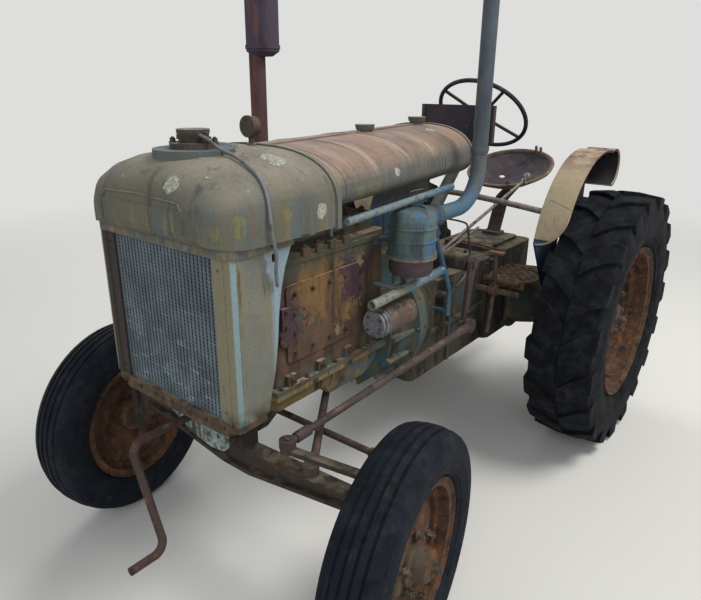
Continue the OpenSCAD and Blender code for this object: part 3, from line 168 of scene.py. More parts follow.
# A bolt in shares of its head's width across flats: washer, head and the stud's end. Columns: sides,
# radius, where it starts, how tall it is
HEX_CORNER = 1 / math.sqrt(3)
BOLT_PARTS = [(12, 1.25 * HEX_CORNER, 0.0, 0.12), (6, HEX_CORNER, 0.12, 0.6), (8, 0.28, 0.72, 0.22)]
BOLT_TAPER = 0.94

# Small pieces of a front and a rear wheel: how many nuts, the radius of their circle, their width and the
# middle nut's in mm, the valve's distance from the axis, the raised rings on each wall of the tyre, each
# a radius and half thickness in metres, and the tyre's finish
WHEELS = {
    "front": {
        "nuts": 5, "nut_circle": 82 * MM, "nut_width": 20, "middle_nut_width": 24, "valve_r": 0.158,
        "beads": [(0.246, 2.5 * MM), (0.276, 1.8 * MM), (0.322, 2.2 * MM)], "rubber": "tyre_rubber",
    },
    "rear": {
        "nuts": 8, "nut_circle": 128 * MM, "nut_width": 24, "middle_nut_width": 40, "valve_r": 0.235,
        "beads": [(0.352, 3.5 * MM), (0.374, 2.5 * MM), (0.452, 2 * MM)], "rubber": "rear_rubber",
    },
}
BEAD_SIDES = 6
BEAD_STEPS = 72
BEAD_SUNK = 0.3

# How far out from a wheel's middle the lines start that seat its pieces, in metres
NUT_START = 0.05
MIDDLE_NUT_START = 0.10
WALL_START = 0.06

# Valve stem: its angle from the top in degrees, its radius, and its points in mm, out of the rim and away
# from the wheel's axis
VALVE_TURN = 40
VALVE_R = 4 * MM
VALVE_POINTS = [(-4, 0), (14, 4), (34, 16)]

# Fenders: middles of the crown's arc and of the rear curl, along the tractor and up, the radius of the
# middle of the crown's sheet, the angle of its front end, the height under which the front of the fender
# is finished as the flat plate is, and how far the curl reaches from its middle
CROWN_HUB = (0.740, 0.836)
CURL_HUB = (0.852, 1.180)
CROWN_R = 0.4225
CROWN_END = math.radians(167.9)
CROWN_FOOT = 0.945
CURL_REACH = 0.085

# Oval that rounds off the crown's front end: half widths across and along the crown, where it starts
# across, and the angles in degrees of the chords that cut the corner
CROWN_OVAL = (0.1055, 0.120)
CROWN_OVAL_START = 0.410
OVAL_CHORDS = range(5, 80, 14)

# Part of the sheet that the chords may cut: its lowest and greatest height, how far back it goes, how far
# before the oval it starts across, and how far inside the middle of the sheet it lies
CORNER_LOW = 0.924
CORNER_HIGH = 1.10
CORNER_BACK = 0.46
CORNER_MARGIN = 4 * MM
CORNER_DEEP = 8 * MM

# Rolled edge of the fenders: its radius, the angles in degrees of its points on the oval, and the arcs
# that it follows behind the oval. Columns: hub, radius in metres, angles in degrees
FENDER_EDGE_R = 4 * MM
OVAL_TURNS = range(0, 91, 10)
EDGE_ARCS = [(CROWN_HUB, 0.4205, range(148, 78, -6)), (CURL_HUB, 0.0755, range(112, -86, -14))]

# Lapped seam across the fenders' crown, in metres across and up, its radius, and the line ahead that it is
# cast from
FENDER_SEAM = [(0.424, 1.092), (0.454, 1.085), (0.485, 1.076), (0.515, 1.068)]
FENDER_SEAM_R = 1.8 * MM
FENDER_CAST_Y = 0.3

# Seat pan's rim: the pan's middle, its rough half widths across and along, the shares of them in percent
# that are tried from outside inwards, and the rim's points and radius
SEAT_MIDDLE_Y = 0.957
SEAT_REACH = (0.205, 0.193)
SEAT_SHARES = range(110, 40, -1)
SEAT_RIM_POINTS = 40
SEAT_RIM_R = 7 * MM

# Knob of the gear lever, and its height as a share of its width
KNOB_PLACE = (0.190, 0.716, 1.128)
KNOB_FACING = (0.25, -0.80, 0.55)
KNOB_RADIUS = 17 * MM
KNOB_FLAT = 0.55

# How far out the line starts that seats a small piece on a node: close by, further off, and from the
# middle of the hood or the tank
NEAR = 0.06
FAR = 0.2
FROM_MIDDLE = 0.6

# Corners nearer than this are one, in a CAD node and in a new piece. Faces shade as one round face over
# edges that turn by less than ROUND_EDGES
NODE_WELD = 0.02 * MM
PIECE_WELD = 0.01 * MM
ROUND_EDGES = math.radians(33)

# Sockets of the Mix node's colour form, which share their names with its other forms
MIX_A = 6
MIX_B = 7
MIX_RESULT = 2

# Stretches of a pattern, drawn out where they are below 1: even, runs down a side, and rings about Y
EVEN = (1, 1, 1)
RUNS = (1, 1, 0.14)
THIN_RUNS = (1, 1, 0.05)
AROUND_Y = (0.13, 1, 0.13)

# Area of a wear layer that lies on faces turned up, on the hood and the tank partly painted sunlight and on
# the thin pipes a painted highlight: from where it starts to where it is full
UP = ("facing", "Z", 0.30, 0.90)

# Patterns: each one's shift from the one before, the noise levels of a soft mask, the size in mm of the
# lobes at a spot's edge, the share of a spot over which it fades, and the soft edge of a band of paint
PATTERN_SHIFT = 3.7
SOFT = (0.3, 0.7)
LOBE_MM = 22
SPOT_FADE = 0.15
BAND_BLUR = 2.5 * MM

# How dark and light a finish gets in its mottle and in its grain, and how far its roughness swings
MOTTLE_SHADES = (0.72, 1.25)
GRAIN_SHADES = (0.86, 1.12)
ROUGH_SWING = 0.1

# Numbers that give every pattern a place of its own, in the order of the finishes
seed = iter(range(1, 1000))


# Colours

def linear(value):
    """Turn one sRGB channel from 0 to 1 into linear light."""
    if value <= 0.04045:
        return value / 12.92
    return ((value + 0.055) / 1.055) ** 2.4


def colour(text, share=1.0):
    """Turn an sRGB hex value such as A5946F into a linear RGBA colour, lighter or darker by a share."""
    channels = [int(text[i:i + 2], 16) / 255 for i in (0, 2, 4)]
    return (*[min(1.0, linear(channel) * share) for channel in channels], 1.0)


# Materials

def add(tree, kind, inputs=None, **settings):
    """Add one node, set its own settings, and fill or link its inputs."""
    node = tree.nodes.new("ShaderNode" + kind)
    for name, value in settings.items():
        setattr(node, name, value)
    for name, value in (inputs or {}).items():
        if isinstance(value, bpy.types.NodeSocket):
            tree.links.new(value, node.inputs[name])
        else:
            node.inputs[name].default_value = value
    return node


def patches(tree, place, size, low, high, stretch=EVEN):
    """Mask of soft-edged patches about size millimetres across."""
    shift = PATTERN_SHIFT * next(seed)
    mapping = add(tree, "Mapping", {"Vector": place, "Location": (shift, shift, shift), "Scale": stretch})
    noise = add(tree, "TexNoise", {
        "Vector": mapping.outputs["Vector"], "Scale": 1 / (size * MM), "Detail": 5.0, "Roughness": 0.62})
    limits = {"Value": noise.outputs["Fac"], "From Min": low, "From Max": high}
    return add(tree, "MapRange", limits).outputs["Result"]


def reach(tree, place, where):
    """Mask of the area that a layer of wear or of painted light and shade keeps to."""
    kind, *values = where
    if kind == "band":
        axis, low, high = values
        part = add(tree, "SeparateXYZ", {"Vector": place}).outputs[axis]
        off = add(tree, "Math", {0: part, 1: (low + high) / 2}, operation="SUBTRACT").outputs[0]
        off = add(tree, "Math", {0: off}, operation="ABSOLUTE").outputs[0]
        limits = {"Value": off, "From Min": (high - low) / 2 + BAND_BLUR, "From Max": (high - low) / 2}
        return add(tree, "MapRange", limits).outputs["Result"]
    if kind in ("facing", "along"):
        axis, start, end = values
        source = add(tree, "NewGeometry").outputs["Normal"] if kind == "facing" else place
        part = add(tree, "SeparateXYZ", {"Vector": source}).outputs[axis]
        return add(tree, "MapRange", {"Value": part, "From Min": start, "From Max": end}).outputs["Result"]
    spots, ragged = values
    lobes = patches(tree, place, LOBE_MM, *SOFT)
    cover = None
    for x, y, z, radius in spots:
        distance = add(tree, "VectorMath", {0: place, 1: (x, y, z)}, operation="DISTANCE").outputs["Value"]
        edge = add(tree, "Math", {0: lobes, 1: ragged * radius, 2: distance}, operation="MULTIPLY_ADD")
        outer = (1 + 0.5 * ragged) * radius
        limits = {"Value": edge.outputs[0], "From Min": outer, "From Max": outer - SPOT_FADE * radius}
        spot = add(tree, "MapRange", limits).outputs["Result"]
        if cover is not None:
            spot = add(tree, "Math", {0: cover, 1: spot}, operation="MAXIMUM").outputs[0]
        cover = spot
    return cover


def aged(name, base, layers, rough=0.78, metal=0.0, grain=(7, 0.12), mottle=150, shine=0.25):
    """Make a weathered finish: layers of wear, on some finishes also painted light and shade, over a base
    colour, each with its own size and place.

    A layer's columns: tint, patch size in mm, noise level where it starts, level where it is full,
    stretch, area it keeps to or None, and how far it stands proud in mm. Grain is the size and
    depth in mm of the surface's own texture, drawn as coarse as the picture can show.
    """
    material = bpy.data.materials.new(name)
    material.use_nodes = True
    tree = material.node_tree
    shader = tree.nodes["Principled BSDF"]
    place = add(tree, "TexCoord").outputs["Object"]
    tone = patches(tree, place, mottle, *SOFT)
    dark, light = [colour(base, share) for share in MOTTLE_SHADES]
    shade = add(tree, "Mix", {0: tone, MIX_A: dark, MIX_B: light}, data_type="RGBA").outputs[MIX_RESULT]
    speck = patches(tree, place, grain[0], *SOFT)
    height = add(tree, "Math", {0: speck, 1: grain[1]}, operation="MULTIPLY").outputs[0]
    for tint, size, low, high, stretch, where, proud in layers:
        cover = patches(tree, place, size, low, high, stretch)
        if where:
            area = reach(tree, place, where)
            cover = add(tree, "Math", {0: cover, 1: area}, operation="MULTIPLY").outputs[0]
        laid = {0: cover, MIX_A: shade, MIX_B: colour(tint)}
        shade = add(tree, "Mix", laid, data_type="RGBA").outputs[MIX_RESULT]
        if proud:
            height = add(tree, "Math", {0: cover, 1: proud, 2: height}, operation="MULTIPLY_ADD").outputs[0]
    limits = {"Value": speck, "To Min": GRAIN_SHADES[0], "To Max": GRAIN_SHADES[1]}
    bright = add(tree, "MapRange", limits).outputs["Result"]
    shade = add(tree, "VectorMath", {0: shade, 1: bright}, operation="MULTIPLY").outputs["Vector"]
    tree.links.new(shade, shader.inputs["Base Color"])
    limits = {"Value": tone, "To Min": rough - ROUGH_SWING, "To Max": min(1.0, rough + ROUGH_SWING)}
    matt = add(tree, "MapRange", limits)
    tree.links.new(matt.outputs["Result"], shader.inputs["Roughness"])
    shader.inputs["Metallic"].default_value = metal
    shader.inputs["Specular IOR Level"].default_value = shine
    bump = add(tree, "Bump", {"Height": height, "Distance": MM, "Strength": 1.0})
    tree.links.new(bump.outputs["Normal"], shader.inputs["Normal"])
    return material


# Wear spots, each a place and a radius in metres
HOOD_LICHEN = [(0.102, -1.112, 1.297, 0.024), (0.287, -0.806, 1.213, 0.021),
               (0.199, -0.870, 1.332, 0.023), (0.168, -0.874, 1.340, 0.018),
               (-0.180, -0.960, 1.330, 0.024), (-0.262, -0.830, 1.250, 0.020)]
HOOD_YELLOW = [(0.276, -1.069, 1.226, 0.016), (0.277, -1.069, 1.204, 0.016), (0.242, -1.113, 1.203, 0.014),
               (0.293, -0.930, 1.222, 0.016), (-0.262, -1.080, 1.215, 0.018)]
TANK_PALE = [(0.139, -0.222, 1.372, 0.022), (0.256, -0.424, 1.268, 0.016), (0.111, -0.013, 1.375, 0.026)]
BLOCK_OCHRE = [(0.176, -0.700, 0.960, 0.100), (0.176, -0.570, 0.880, 0.060), (0.176, -0.620, 1.000, 0.060)]
BLOCK_PURPLE = [(0.174, -0.535, 0.990, 0.062), (0.176, -0.535, 0.920, 0.050), (0.180, -0.828, 0.890, 0.070),
                (-0.176, -0.600, 0.900, 0.120)]
BLOCK_PALE = [(0.170, -0.500, 1.010, 0.030), (0.176, -0.600, 0.800, 0.022)]
CANISTER_BLUE = [(0.356, -0.421, 1.135, 0.036), (0.350, -0.300, 1.120, 0.050), (0.365, -0.390, 1.050, 0.030)]
HUB_DUST = [(0.625, -0.880, 0.352, 0.072), (-0.625, -0.860, 0.352, 0.072)]
SIDE_FLARE = [(0.264, -0.925, 1.118, 0.062), (-0.264, -0.925, 1.118, 0.062)]


def core_brass():
    """Radiator core: brass tubes crossed by copper fins, gone blue-grey.

    To the eye it is rows of small dark gaps, painted shade in the openings, with pale scuffs low down.
    """
    material = aged("oxidised brass and copper core", "5F6B72", [
        ("4B555B", 90, 0.44, 0.70, EVEN, None, 0.0),
        ("8A979F", 12, 0.58, 0.66, (0.22, 1, 1.0), ("along", "Z", 1.02, 0.80), 0.0),
        ("6F7E86", 60, 0.50, 0.66, EVEN, ("along", "Z", 0.95, 0.76), 0.0),
        ("50463E", 40, 0.62, 0.72, RUNS, None, 0.0),
    ], rough=0.66, metal=0.15, grain=(6, 0.2), mottle=90)
    tree = material.node_tree
    shader = tree.nodes["Principled BSDF"]
    shade = shader.inputs["Base Color"].links[0].from_socket
    place = add(tree, "SeparateXYZ", {"Vector": add(tree, "TexCoord").outputs["Object"]})
    start, full = CORE_DOT_WAVE
    gaps = None
    for axis, pitch in (("X", CORE_DOT_X), ("Z", CORE_DOT_Z)):
        angle = add(tree, "Math", {0: place.outputs[axis], 1: 2 * math.pi / pitch}, operation="MULTIPLY")
        wave = add(tree, "Math", {0: angle.outputs[0]}, operation="COSINE").outputs[0]
        dots = add(tree, "MapRange", {"Value": wave, "From Min": start, "From Max": full}).outputs["Result"]
        if gaps is not None:
            dots = add(tree, "Math", {0: gaps, 1: dots}, operation="MULTIPLY").outputs[0]
        gaps = dots
    # The gaps go near black: painted shade in the openings between tubes and fins
    dark = add(tree, "Mix", {0: gaps, MIX_A: shade, MIX_B: colour("15191C")}, data_type="RGBA")
    tree.links.new(dark.outputs[MIX_RESULT], shader.inputs["Base Color"])
    return material


FINISHES = {
    "core_metal": core_brass(),
    # Enamel on pressed steel after decades outdoors: dusty olive grey, tan on top that is partly painted
    # sunlight, blue-grey lower down that is partly painted skylight shade, blue-grey round the filler that
    # is painted shade, grime and rust that run down, yellow-green algae in thin streaks, lichen crusts that
    # stand a little proud
    "hood_paint": aged("chalked olive enamel on pressed steel", "5F615B", [
        ("686250", 120, 0.46, 0.66, (1, 1, 0.5), None, 0.0),
        # Blue-grey lower down: partly painted skylight shade
        ("525E66", 70, 0.50, 0.66, RUNS, ("along", "Z", 1.28, 1.18), 0.0),
        # Tan on faces turned up: dust, and partly painted sunlight
        ("858074", 150, 0.26, 0.56, EVEN, UP, 0.0),
        ("4B4A44", 50, 0.56, 0.72, RUNS, None, 0.0),
        ("6E5644", 22, 0.61, 0.71, RUNS, None, 0.04),
        ("857660", 40, 0.50, 0.66, EVEN, ("band", "Z", 1.140, 1.158), 0.0),
        ("77764E", 26, 0.54, 0.68, THIN_RUNS, ("along", "Z", 1.26, 1.20), 0.0),
        ("74743F", 9, 0.34, 0.64, THIN_RUNS, ("spots", HOOD_YELLOW, 0.5), 0.0),
        # Blue-grey round the filler: painted shade
        ("4D5B66", 60, 0.16, 0.50, EVEN, ("spots", [(0, -0.962, 1.372, 0.111)], 0.06), 0.0),
        ("83857A", 9, 0.10, 0.20, EVEN, ("spots", HOOD_LICHEN, 0.35), 0.5),
        ("B9BAAC", 4.5, 0.46, 0.56, EVEN, ("spots", HOOD_LICHEN, 0.35), 0.6),
        ("B9BAAC", 14, 0.66, 0.70, EVEN, UP, 0.3),
        ("35342F", 7, 0.68, 0.74, EVEN, None, -0.1),
    ], rough=0.84, grain=(5, 0.16), mottle=200),
    # The same enamel scoured by fuel and sun: pinkish tan on top, partly painted sunlight, olive grey below,
    # with fine streaks that run round the tank
    "tank_paint": aged("scoured tan enamel on pressed steel", "5C5C59", [
        ("6E6A50", 90, 0.50, 0.66, EVEN, ("along", "Z", 1.32, 1.24), 0.0),
        # Pinkish tan on faces turned up: sun-bleached paint and partly painted sunlight
        ("8C7668", 170, 0.22, 0.50, EVEN, UP, 0.0),
        ("A08F80", 60, 0.52, 0.66, AROUND_Y, UP, 0.0),
        ("4F504C", 13, 0.54, 0.72, AROUND_Y, None, 0.0),
        ("7A7062", 10, 0.58, 0.70, AROUND_Y, None, 0.0),
        ("5E4436", 22, 0.62, 0.72, AROUND_Y, None, 0.04),
        ("4A4640", 60, 0.40, 0.62, AROUND_Y, ("along", "Z", 1.22, 1.18), 0.0),
        ("A9A8A2", 10, 0.40, 0.50, EVEN, ("spots", TANK_PALE, 0.6), 0.1),
        ("3A3834", 9, 0.66, 0.72, EVEN, None, -0.1),
    ], rough=0.78, mottle=220),
    # Layers of old enamel on sheet, from the front: a tan flange, a narrow pale blue strip, a tan-grey
    # field and a pale blue rear edge
    "side_panel_paint": aged("layered enamel on sheet steel", "72746C", [
        ("7B7560", 60, 0.46, 0.62, RUNS, None, 0.0),
        ("646C6D", 60, 0.50, 0.66, RUNS, None, 0.0),
        ("7A6F64", 30, 0.56, 0.66, (1, 1, 0.3), ("band", "Y", -1.055, -1.010), 0.0),
        ("7B9196", 70, 0.20, 0.46, RUNS, ("band", "Y", -1.091, -1.076), 0.0),
        ("8496A0", 60, 0.26, 0.50, RUNS, ("along", "Y", -0.972, -0.955), 0.0),
        ("8496A0", 90, 0.20, 0.50, EVEN, ("spots", SIDE_FLARE, 0.5), 0.0),
        ("7C7762", 90, 0.16, 0.40, EVEN, ("along", "Y", -1.0915, -1.0930), 0.0),
        ("5B4A36", 26, 0.62, 0.72, RUNS, None, -0.1),
        ("3F3B35", 60, 0.36, 0.58, EVEN, ("along", "Z", 0.760, 0.715), 0.0),
        ("3A322B", 8, 0.66, 0.72, EVEN, None, -0.15),
        # Dark on the right-hand flange: rust, and partly painted shade
        ("37322E", 60, 0.10, 0.30, RUNS, ("band", "X", -0.256, -0.200), 0.0),
    ], rough=0.74),
    # Grey cast iron under flaking paint: brown rust with an ochre bloom, patches of purple primer, and an
    # olive band at the head
    "engine_iron": aged("rusted cast iron with paint remains", "54443A", [
        ("66503F", 60, 0.42, 0.62, (1, 0.6, 0.4), None, 0.1),
        ("80623E", 70, 0.28, 0.58, (1, 0.6, 0.6), ("spots", BLOCK_OCHRE, 1.1), 0.1),
        ("4A3840", 44, 0.26, 0.46, EVEN, ("spots", BLOCK_PURPLE, 1.1), -0.1),
        ("8A7C5E", 20, 0.36, 0.56, EVEN, ("spots", BLOCK_PALE, 1.1), 0.0),
        ("3A312B", 50, 0.50, 0.68, RUNS, None, 0.1),
        ("56564A", 70, 0.30, 0.56, RUNS, ("along", "Z", 1.000, 1.040), 0.0),
        ("4C5650", 50, 0.60, 0.70, EVEN, None, 0.0),
        ("A8947A", 34, 0.34, 0.54, EVEN, ("facing", "Z", 0.5, 0.9), 0.0),
        ("565E54", 60, 0.40, 0.60, EVEN, ("along", "Z", 0.735, 0.70), 0.0),
        ("2C2623", 10, 0.62, 0.70, EVEN, None, -0.25),
    ], rough=0.88, grain=(5, 0.3), mottle=80),
    # Flywheel housing: the same iron with blue-green enamel still on it
    "bell_enamel": aged("worn blue-green enamel on cast iron", "4A5650", [
        ("5E5A44", 60, 0.48, 0.62, RUNS, None, 0.1),
        ("3E5A64", 70, 0.50, 0.62, EVEN, None, 0.0),
        ("2C2A26", 60, 0.52, 0.66, RUNS, None, 0.1),
        ("7A6E58", 60, 0.44, 0.60, EVEN, UP, 0.1),
        ("6A4A34", 22, 0.60, 0.70, EVEN, None, 0.1),
    ], rough=0.82, grain=(6, 0.3)),
    # Lower tank: bare brown iron, dusty
    "bottom_iron": aged("dusty rusted iron", "4A3F37", [
        ("6A5440", 46, 0.48, 0.62, EVEN, None, 0.1),
        ("2F2A27", 50, 0.54, 0.66, EVEN, None, 0.0),
        ("7E7462", 40, 0.46, 0.60, EVEN, UP, 0.0),
    ], rough=0.88, grain=(6, 0.3)),
    # Pressed sump: yellow-green paint under oil and dust
    "sump_paint": aged("oily green enamel on pressed steel", "776A4C", [
        ("877550", 40, 0.46, 0.60, RUNS, None, 0.0),
        ("37322A", 50, 0.50, 0.64, RUNS, None, 0.1),
        ("55676A", 60, 0.44, 0.60, EVEN, ("along", "Y", -0.56, -0.48), 0.0),
        ("86633F", 20, 0.60, 0.68, EVEN, None, 0.0),
    ], rough=0.72, grain=(6, 0.25)),
    # Bare cast iron scaled by heat: deep red-brown, powdery
    "manifold_iron": aged("heat-scaled cast iron", "4C3429", [
        ("6E4830", 50, 0.50, 0.62, EVEN, None, 0.2),
        ("2F2626", 36, 0.56, 0.66, EVEN, None, 0.1),
        ("8A7862", 60, 0.58, 0.68, EVEN, UP, 0.0),
    ], rough=0.92, grain=(6, 0.3)),
    # Painted steel case rubbed back to grey metal at the end ring, browned along the body
    "starter_steel": aged("rubbed grey steel case", "5B544E", [
        ("7C8085", 40, 0.30, 0.46, EVEN, ("along", "Y", -0.488, -0.498), 0.0),
        ("6E5138", 34, 0.48, 0.60, EVEN, ("along", "Y", -0.500, -0.480), 0.1),
        ("8A8272", 40, 0.52, 0.64, EVEN, UP, 0.0),
        ("2F2D2D", 30, 0.54, 0.66, EVEN, None, 0.0),
    ], rough=0.6, metal=0.25, grain=(5, 0.15), shine=0.4),
    # Thin steel pipe burnt by the exhaust: matt maroon, the silencer bluer, partly as painted skylight shade
    "exhaust_steel": aged("burnt and rusted steel pipe", "513B3E", [
        # Bluer silencer: burnt steel, and partly painted skylight shade
        ("463F4E", 120, 0.24, 0.40, EVEN, ("along", "Z", 1.59, 1.62), 0.0),
        ("6A4638", 44, 0.56, 0.66, RUNS, None, 0.15),
        ("33292C", 60, 0.54, 0.68, RUNS, None, 0.0),
    ], rough=0.88, grain=(7, 0.2)),
    # Enamel canister: green-grey with blue where the top coat has gone, a rusty ring, maroon bowl below
    "cleaner_paint": aged("flaked enamel on spun steel", "4B5D61", [
        ("575F56", 60, 0.46, 0.62, RUNS, None, 0.0),
        ("38607E", 30, 0.36, 0.56, (1, 1, 0.5), ("spots", CANISTER_BLUE, 1.0), 0.0),
        ("3F6478", 36, 0.56, 0.66, RUNS, None, 0.0),
        ("2F3A42", 60, 0.46, 0.62, RUNS, None, 0.0),
        ("2C3034", 26, 0.58, 0.68, (1, 1, 0.4), None, -0.1),
        ("47383B", 60, 0.06, 0.16, EVEN, ("along", "Z", 1.008, 1.004), 0.0),
        ("2E3840", 40, 0.52, 0.62, EVEN, ("along", "Z", 1.008, 1.004), 0.0),
        ("746655", 24, 0.34, 0.56, EVEN, ("band", "Z", 1.009, 1.016), 0.05),
        ("54423A", 12, 0.60, 0.68, (1, 1, 0.5), None, 0.05),
        ("252A2C", 7, 0.66, 0.71, EVEN, None, -0.2),
    ], rough=0.66, shine=0.4),
    # Painted steel tube: dark blue-grey above, bluer at the elbow where the top coat has worn off
    "stack_paint": aged("worn enamel on steel tube", "474F58", [
        ("3A5E78", 70, 0.30, 0.56, EVEN, ("along", "Z", 1.24, 1.13), 0.0),
        ("5A6058", 80, 0.50, 0.66, (1, 1, 0.4), None, 0.0),
        ("363D46", 90, 0.52, 0.66, (1, 1, 0.4), None, 0.0),
        ("62503F", 20, 0.62, 0.70, RUNS, None, 0.1),
    ], rough=0.68, shine=0.4),
    # Blue-grey enamel on thin pipes, rusting at the joints, tan on the open lower one, pale on top as a
    # painted highlight
    "pipe_steel": aged("light blue enamel on steel pipe", "3C5F7A", [
        ("66767A", 50, 0.06, 0.26, EVEN, ("along", "Y", -0.20, -0.32), 0.0),
        ("7E7C6B", 50, 0.30, 0.46, EVEN, ("spots", [(0.28, -0.52, 0.87, 0.11)], 0.8), 0.0),
        ("6A4E3A", 18, 0.58, 0.66, EVEN, None, 0.1),
        ("2E4A5E", 40, 0.54, 0.66, EVEN, None, 0.0),
        # Pale on faces turned up: a painted highlight
        ("8FA0A0", 20, 0.58, 0.66, EVEN, UP, 0.0),
    ], rough=0.62, shine=0.4),
    # Cast housings under decades of oil and dust: near-black green-grey, worn blue-green high spots
    "housing_iron": aged("oil-caked cast iron", "3F3E38", [
        ("37494D", 90, 0.50, 0.64, EVEN, None, 0.0),
        ("5C5240", 60, 0.50, 0.64, RUNS, None, 0.1),
        ("242320", 80, 0.48, 0.62, RUNS, None, 0.15),
        ("736A57", 70, 0.42, 0.60, EVEN, UP, 0.1),
        ("644833", 26, 0.58, 0.68, EVEN, None, 0.1),
    ], rough=0.86, grain=(7, 0.3)),
    # Forged and cast running gear: dark, dry, dusty on top
    "axle_iron": aged("weathered forged steel", "3D3733", [
        ("5A4335", 50, 0.52, 0.64, EVEN, None, 0.15),
        ("262322", 60, 0.54, 0.66, EVEN, None, 0.0),
        ("6C6355", 60, 0.46, 0.62, EVEN, UP, 0.05),
    ], rough=0.88, grain=(6, 0.25)),
    # Small steel fittings handled bare: brown-grey with rubbed edges
    "worn_steel": aged("rubbed brown steel", "4E4741", [
        ("746B60", 26, 0.50, 0.62, EVEN, UP, 0.0),
        ("664733", 16, 0.54, 0.64, EVEN, None, 0.1),
        ("2E2B2A", 22, 0.54, 0.66, EVEN, None, 0.0),
    ], rough=0.68, metal=0.2, grain=(5, 0.12)),
    # Pressed foot platform: dry orange-brown rust, dust in the pattern
    "platform_rust": aged("dry rusted tread plate", "5A4A3E", [
        ("7E664E", 50, 0.42, 0.58, EVEN, UP, 0.1),
        ("332C29", 40, 0.52, 0.66, EVEN, None, 0.0),
        ("A8906F", 40, 0.52, 0.64, EVEN, ("along", "X", 0.50, 0.62), 0.0),
    ], rough=0.9, grain=(6, 0.25)),
    # Drawn steel rod, grey-brown with a dry bloom
    "rod_steel": aged("rusted drawn steel", "4A4140", [
        ("6E5C50", 40, 0.50, 0.64, EVEN, UP, 0.0),
        ("322A2A", 40, 0.54, 0.66, EVEN, None, 0.0),
        ("6A4636", 18, 0.60, 0.68, EVEN, None, 0.1),
    ], rough=0.84, grain=(6, 0.15)),
    # Lever rods polished by hands and dulled again
    "lever_steel": aged("dulled bright steel", "6B6560", [
        ("8E867C", 36, 0.48, 0.60, EVEN, UP, 0.0),
        ("5E4436", 16, 0.56, 0.64, EVEN, None, 0.1),
        ("3A3534", 30, 0.56, 0.66, EVEN, None, 0.0),
    ], rough=0.55, metal=0.35, grain=(5, 0.08), shine=0.4),
    # Thin drawn tube, zinc-coated and dulled: plain pale grey
    "dull_zinc": aged("dulled zinc coating on steel tube", "6E7175", [
        ("84878A", 26, 0.50, 0.66, EVEN, UP, 0.0),
        ("4A4A4C", 30, 0.54, 0.68, EVEN, None, 0.0),
    ], rough=0.6, metal=0.2, grain=(5, 0.05)),
    # Forged handle, dark brown skin with orange rust in the bends
    "handle_steel": aged("rusted forged steel", "443733", [
        ("6A4636", 30, 0.54, 0.66, EVEN, None, 0.1),
        ("2A2626", 40, 0.54, 0.66, EVEN, None, 0.0),
        ("6E6054", 40, 0.52, 0.64, EVEN, UP, 0.0),
    ], rough=0.8, grain=(6, 0.15)),
    # Pale grey-green enamel, chipped to brown steel round the edges and holes
    "plate_paint": aged("chipped pale enamel on steel", "7C8C8A", [
        ("94A09B", 40, 0.50, 0.60, EVEN, None, 0.0),
        ("4C4038", 20, 0.50, 0.57, EVEN, None, -0.3),
        ("3A352F", 40, 0.56, 0.68, RUNS, None, 0.0),
    ], rough=0.7),
    # Primer-coloured sheet, sun-baked plum brown
    "plum_paint": aged("sun-baked plum enamel", "3D3740", [
        ("4E3A3E", 60, 0.50, 0.66, EVEN, None, 0.0),
        ("2C2A32", 70, 0.52, 0.66, RUNS, None, 0.0),
        ("66493B", 14, 0.62, 0.68, EVEN, None, 0.1),
    ], rough=0.82),
    # Pressed seat pan: plum inside where it was sat on, rusty tan over the rolled rim
    "seat_paint": aged("worn plum enamel with a rusted rim", "413C44", [
        ("7E654C", 40, 0.30, 0.44, EVEN, ("facing", "Z", 0.35, 0.0), 0.1),
        ("564540", 50, 0.52, 0.64, EVEN, None, 0.0),
        ("2E2A33", 70, 0.52, 0.66, EVEN, None, 0.0),
        ("807A70", 8, 0.66, 0.70, EVEN, None, 0.0),
    ], rough=0.76),
    # The rolled rim of the seat alone
    "seat_rim_paint": aged("rusted tan enamel", "76604A", [
        ("9A8468", 50, 0.50, 0.62, EVEN, UP, 0.0),
        ("4E3A34", 40, 0.50, 0.62, EVEN, None, 0.1),
    ], rough=0.82),
    # Sheet fender: even dusty tan on the crown, darker low down as painted shade, maroon undercoat at the
    # top, dark painted shade within
    "fender_paint": aged("dusty tan enamel on sheet steel", "857C6A", [
        ("A09379", 200, 0.20, 0.50, EVEN, None, 0.0),
        # Darker below the seam: painted shade
        ("746C5A", 120, 0.46, 0.66, EVEN, ("along", "Z", 1.08, 0.96), 0.0),
        ("6E4A52", 60, 0.40, 0.60, EVEN, ("along", "Z", 1.18, 1.25), 0.0),
        ("5E4638", 16, 0.64, 0.72, RUNS, None, 0.1),
    ], rough=0.82, mottle=260),
    # Inside of the fenders and the flat plate below: a dark bluish painted shade under splashed dirt, with a
    # streak of blue paint low down
    "fender_inside": aged("painted shade inside fender sheet", "2A2C31", [
        ("3A2E30", 70, 0.46, 0.62, EVEN, None, 0.0),
        ("34506C", 26, 0.34, 0.56, THIN_RUNS, ("along", "Z", 1.00, 0.92), 0.0),
        ("4C453C", 40, 0.58, 0.70, EVEN, None, 0.1),
    ], rough=0.88, grain=(6, 0.2)),
    # Hard rubber over steel, cracked and matt black
    "wheel_plastic": aged("cracked black hard rubber", "26252A", [
        ("3E3836", 20, 0.54, 0.64, EVEN, None, 0.0),
        ("54402F", 12, 0.62, 0.68, EVEN, None, 0.1),
    ], rough=0.66, grain=(5, 0.1)),
    # Rear tyres: perished rubber, near black, fine dust low on the walls
    "rear_rubber": aged("perished lugged rubber", "15171B", [
        ("23262B", 70, 0.46, 0.64, EVEN, None, 0.0),
        ("0E0F12", 50, 0.52, 0.66, EVEN, None, -0.1),
        ("2A2926", 26, 0.60, 0.74, EVEN, None, 0.0),
    ], rough=0.9, grain=(6, 0.3), mottle=110, shine=0.12),
    # Front tyres: the same rubber, bluish black with fine cracks round the ribs
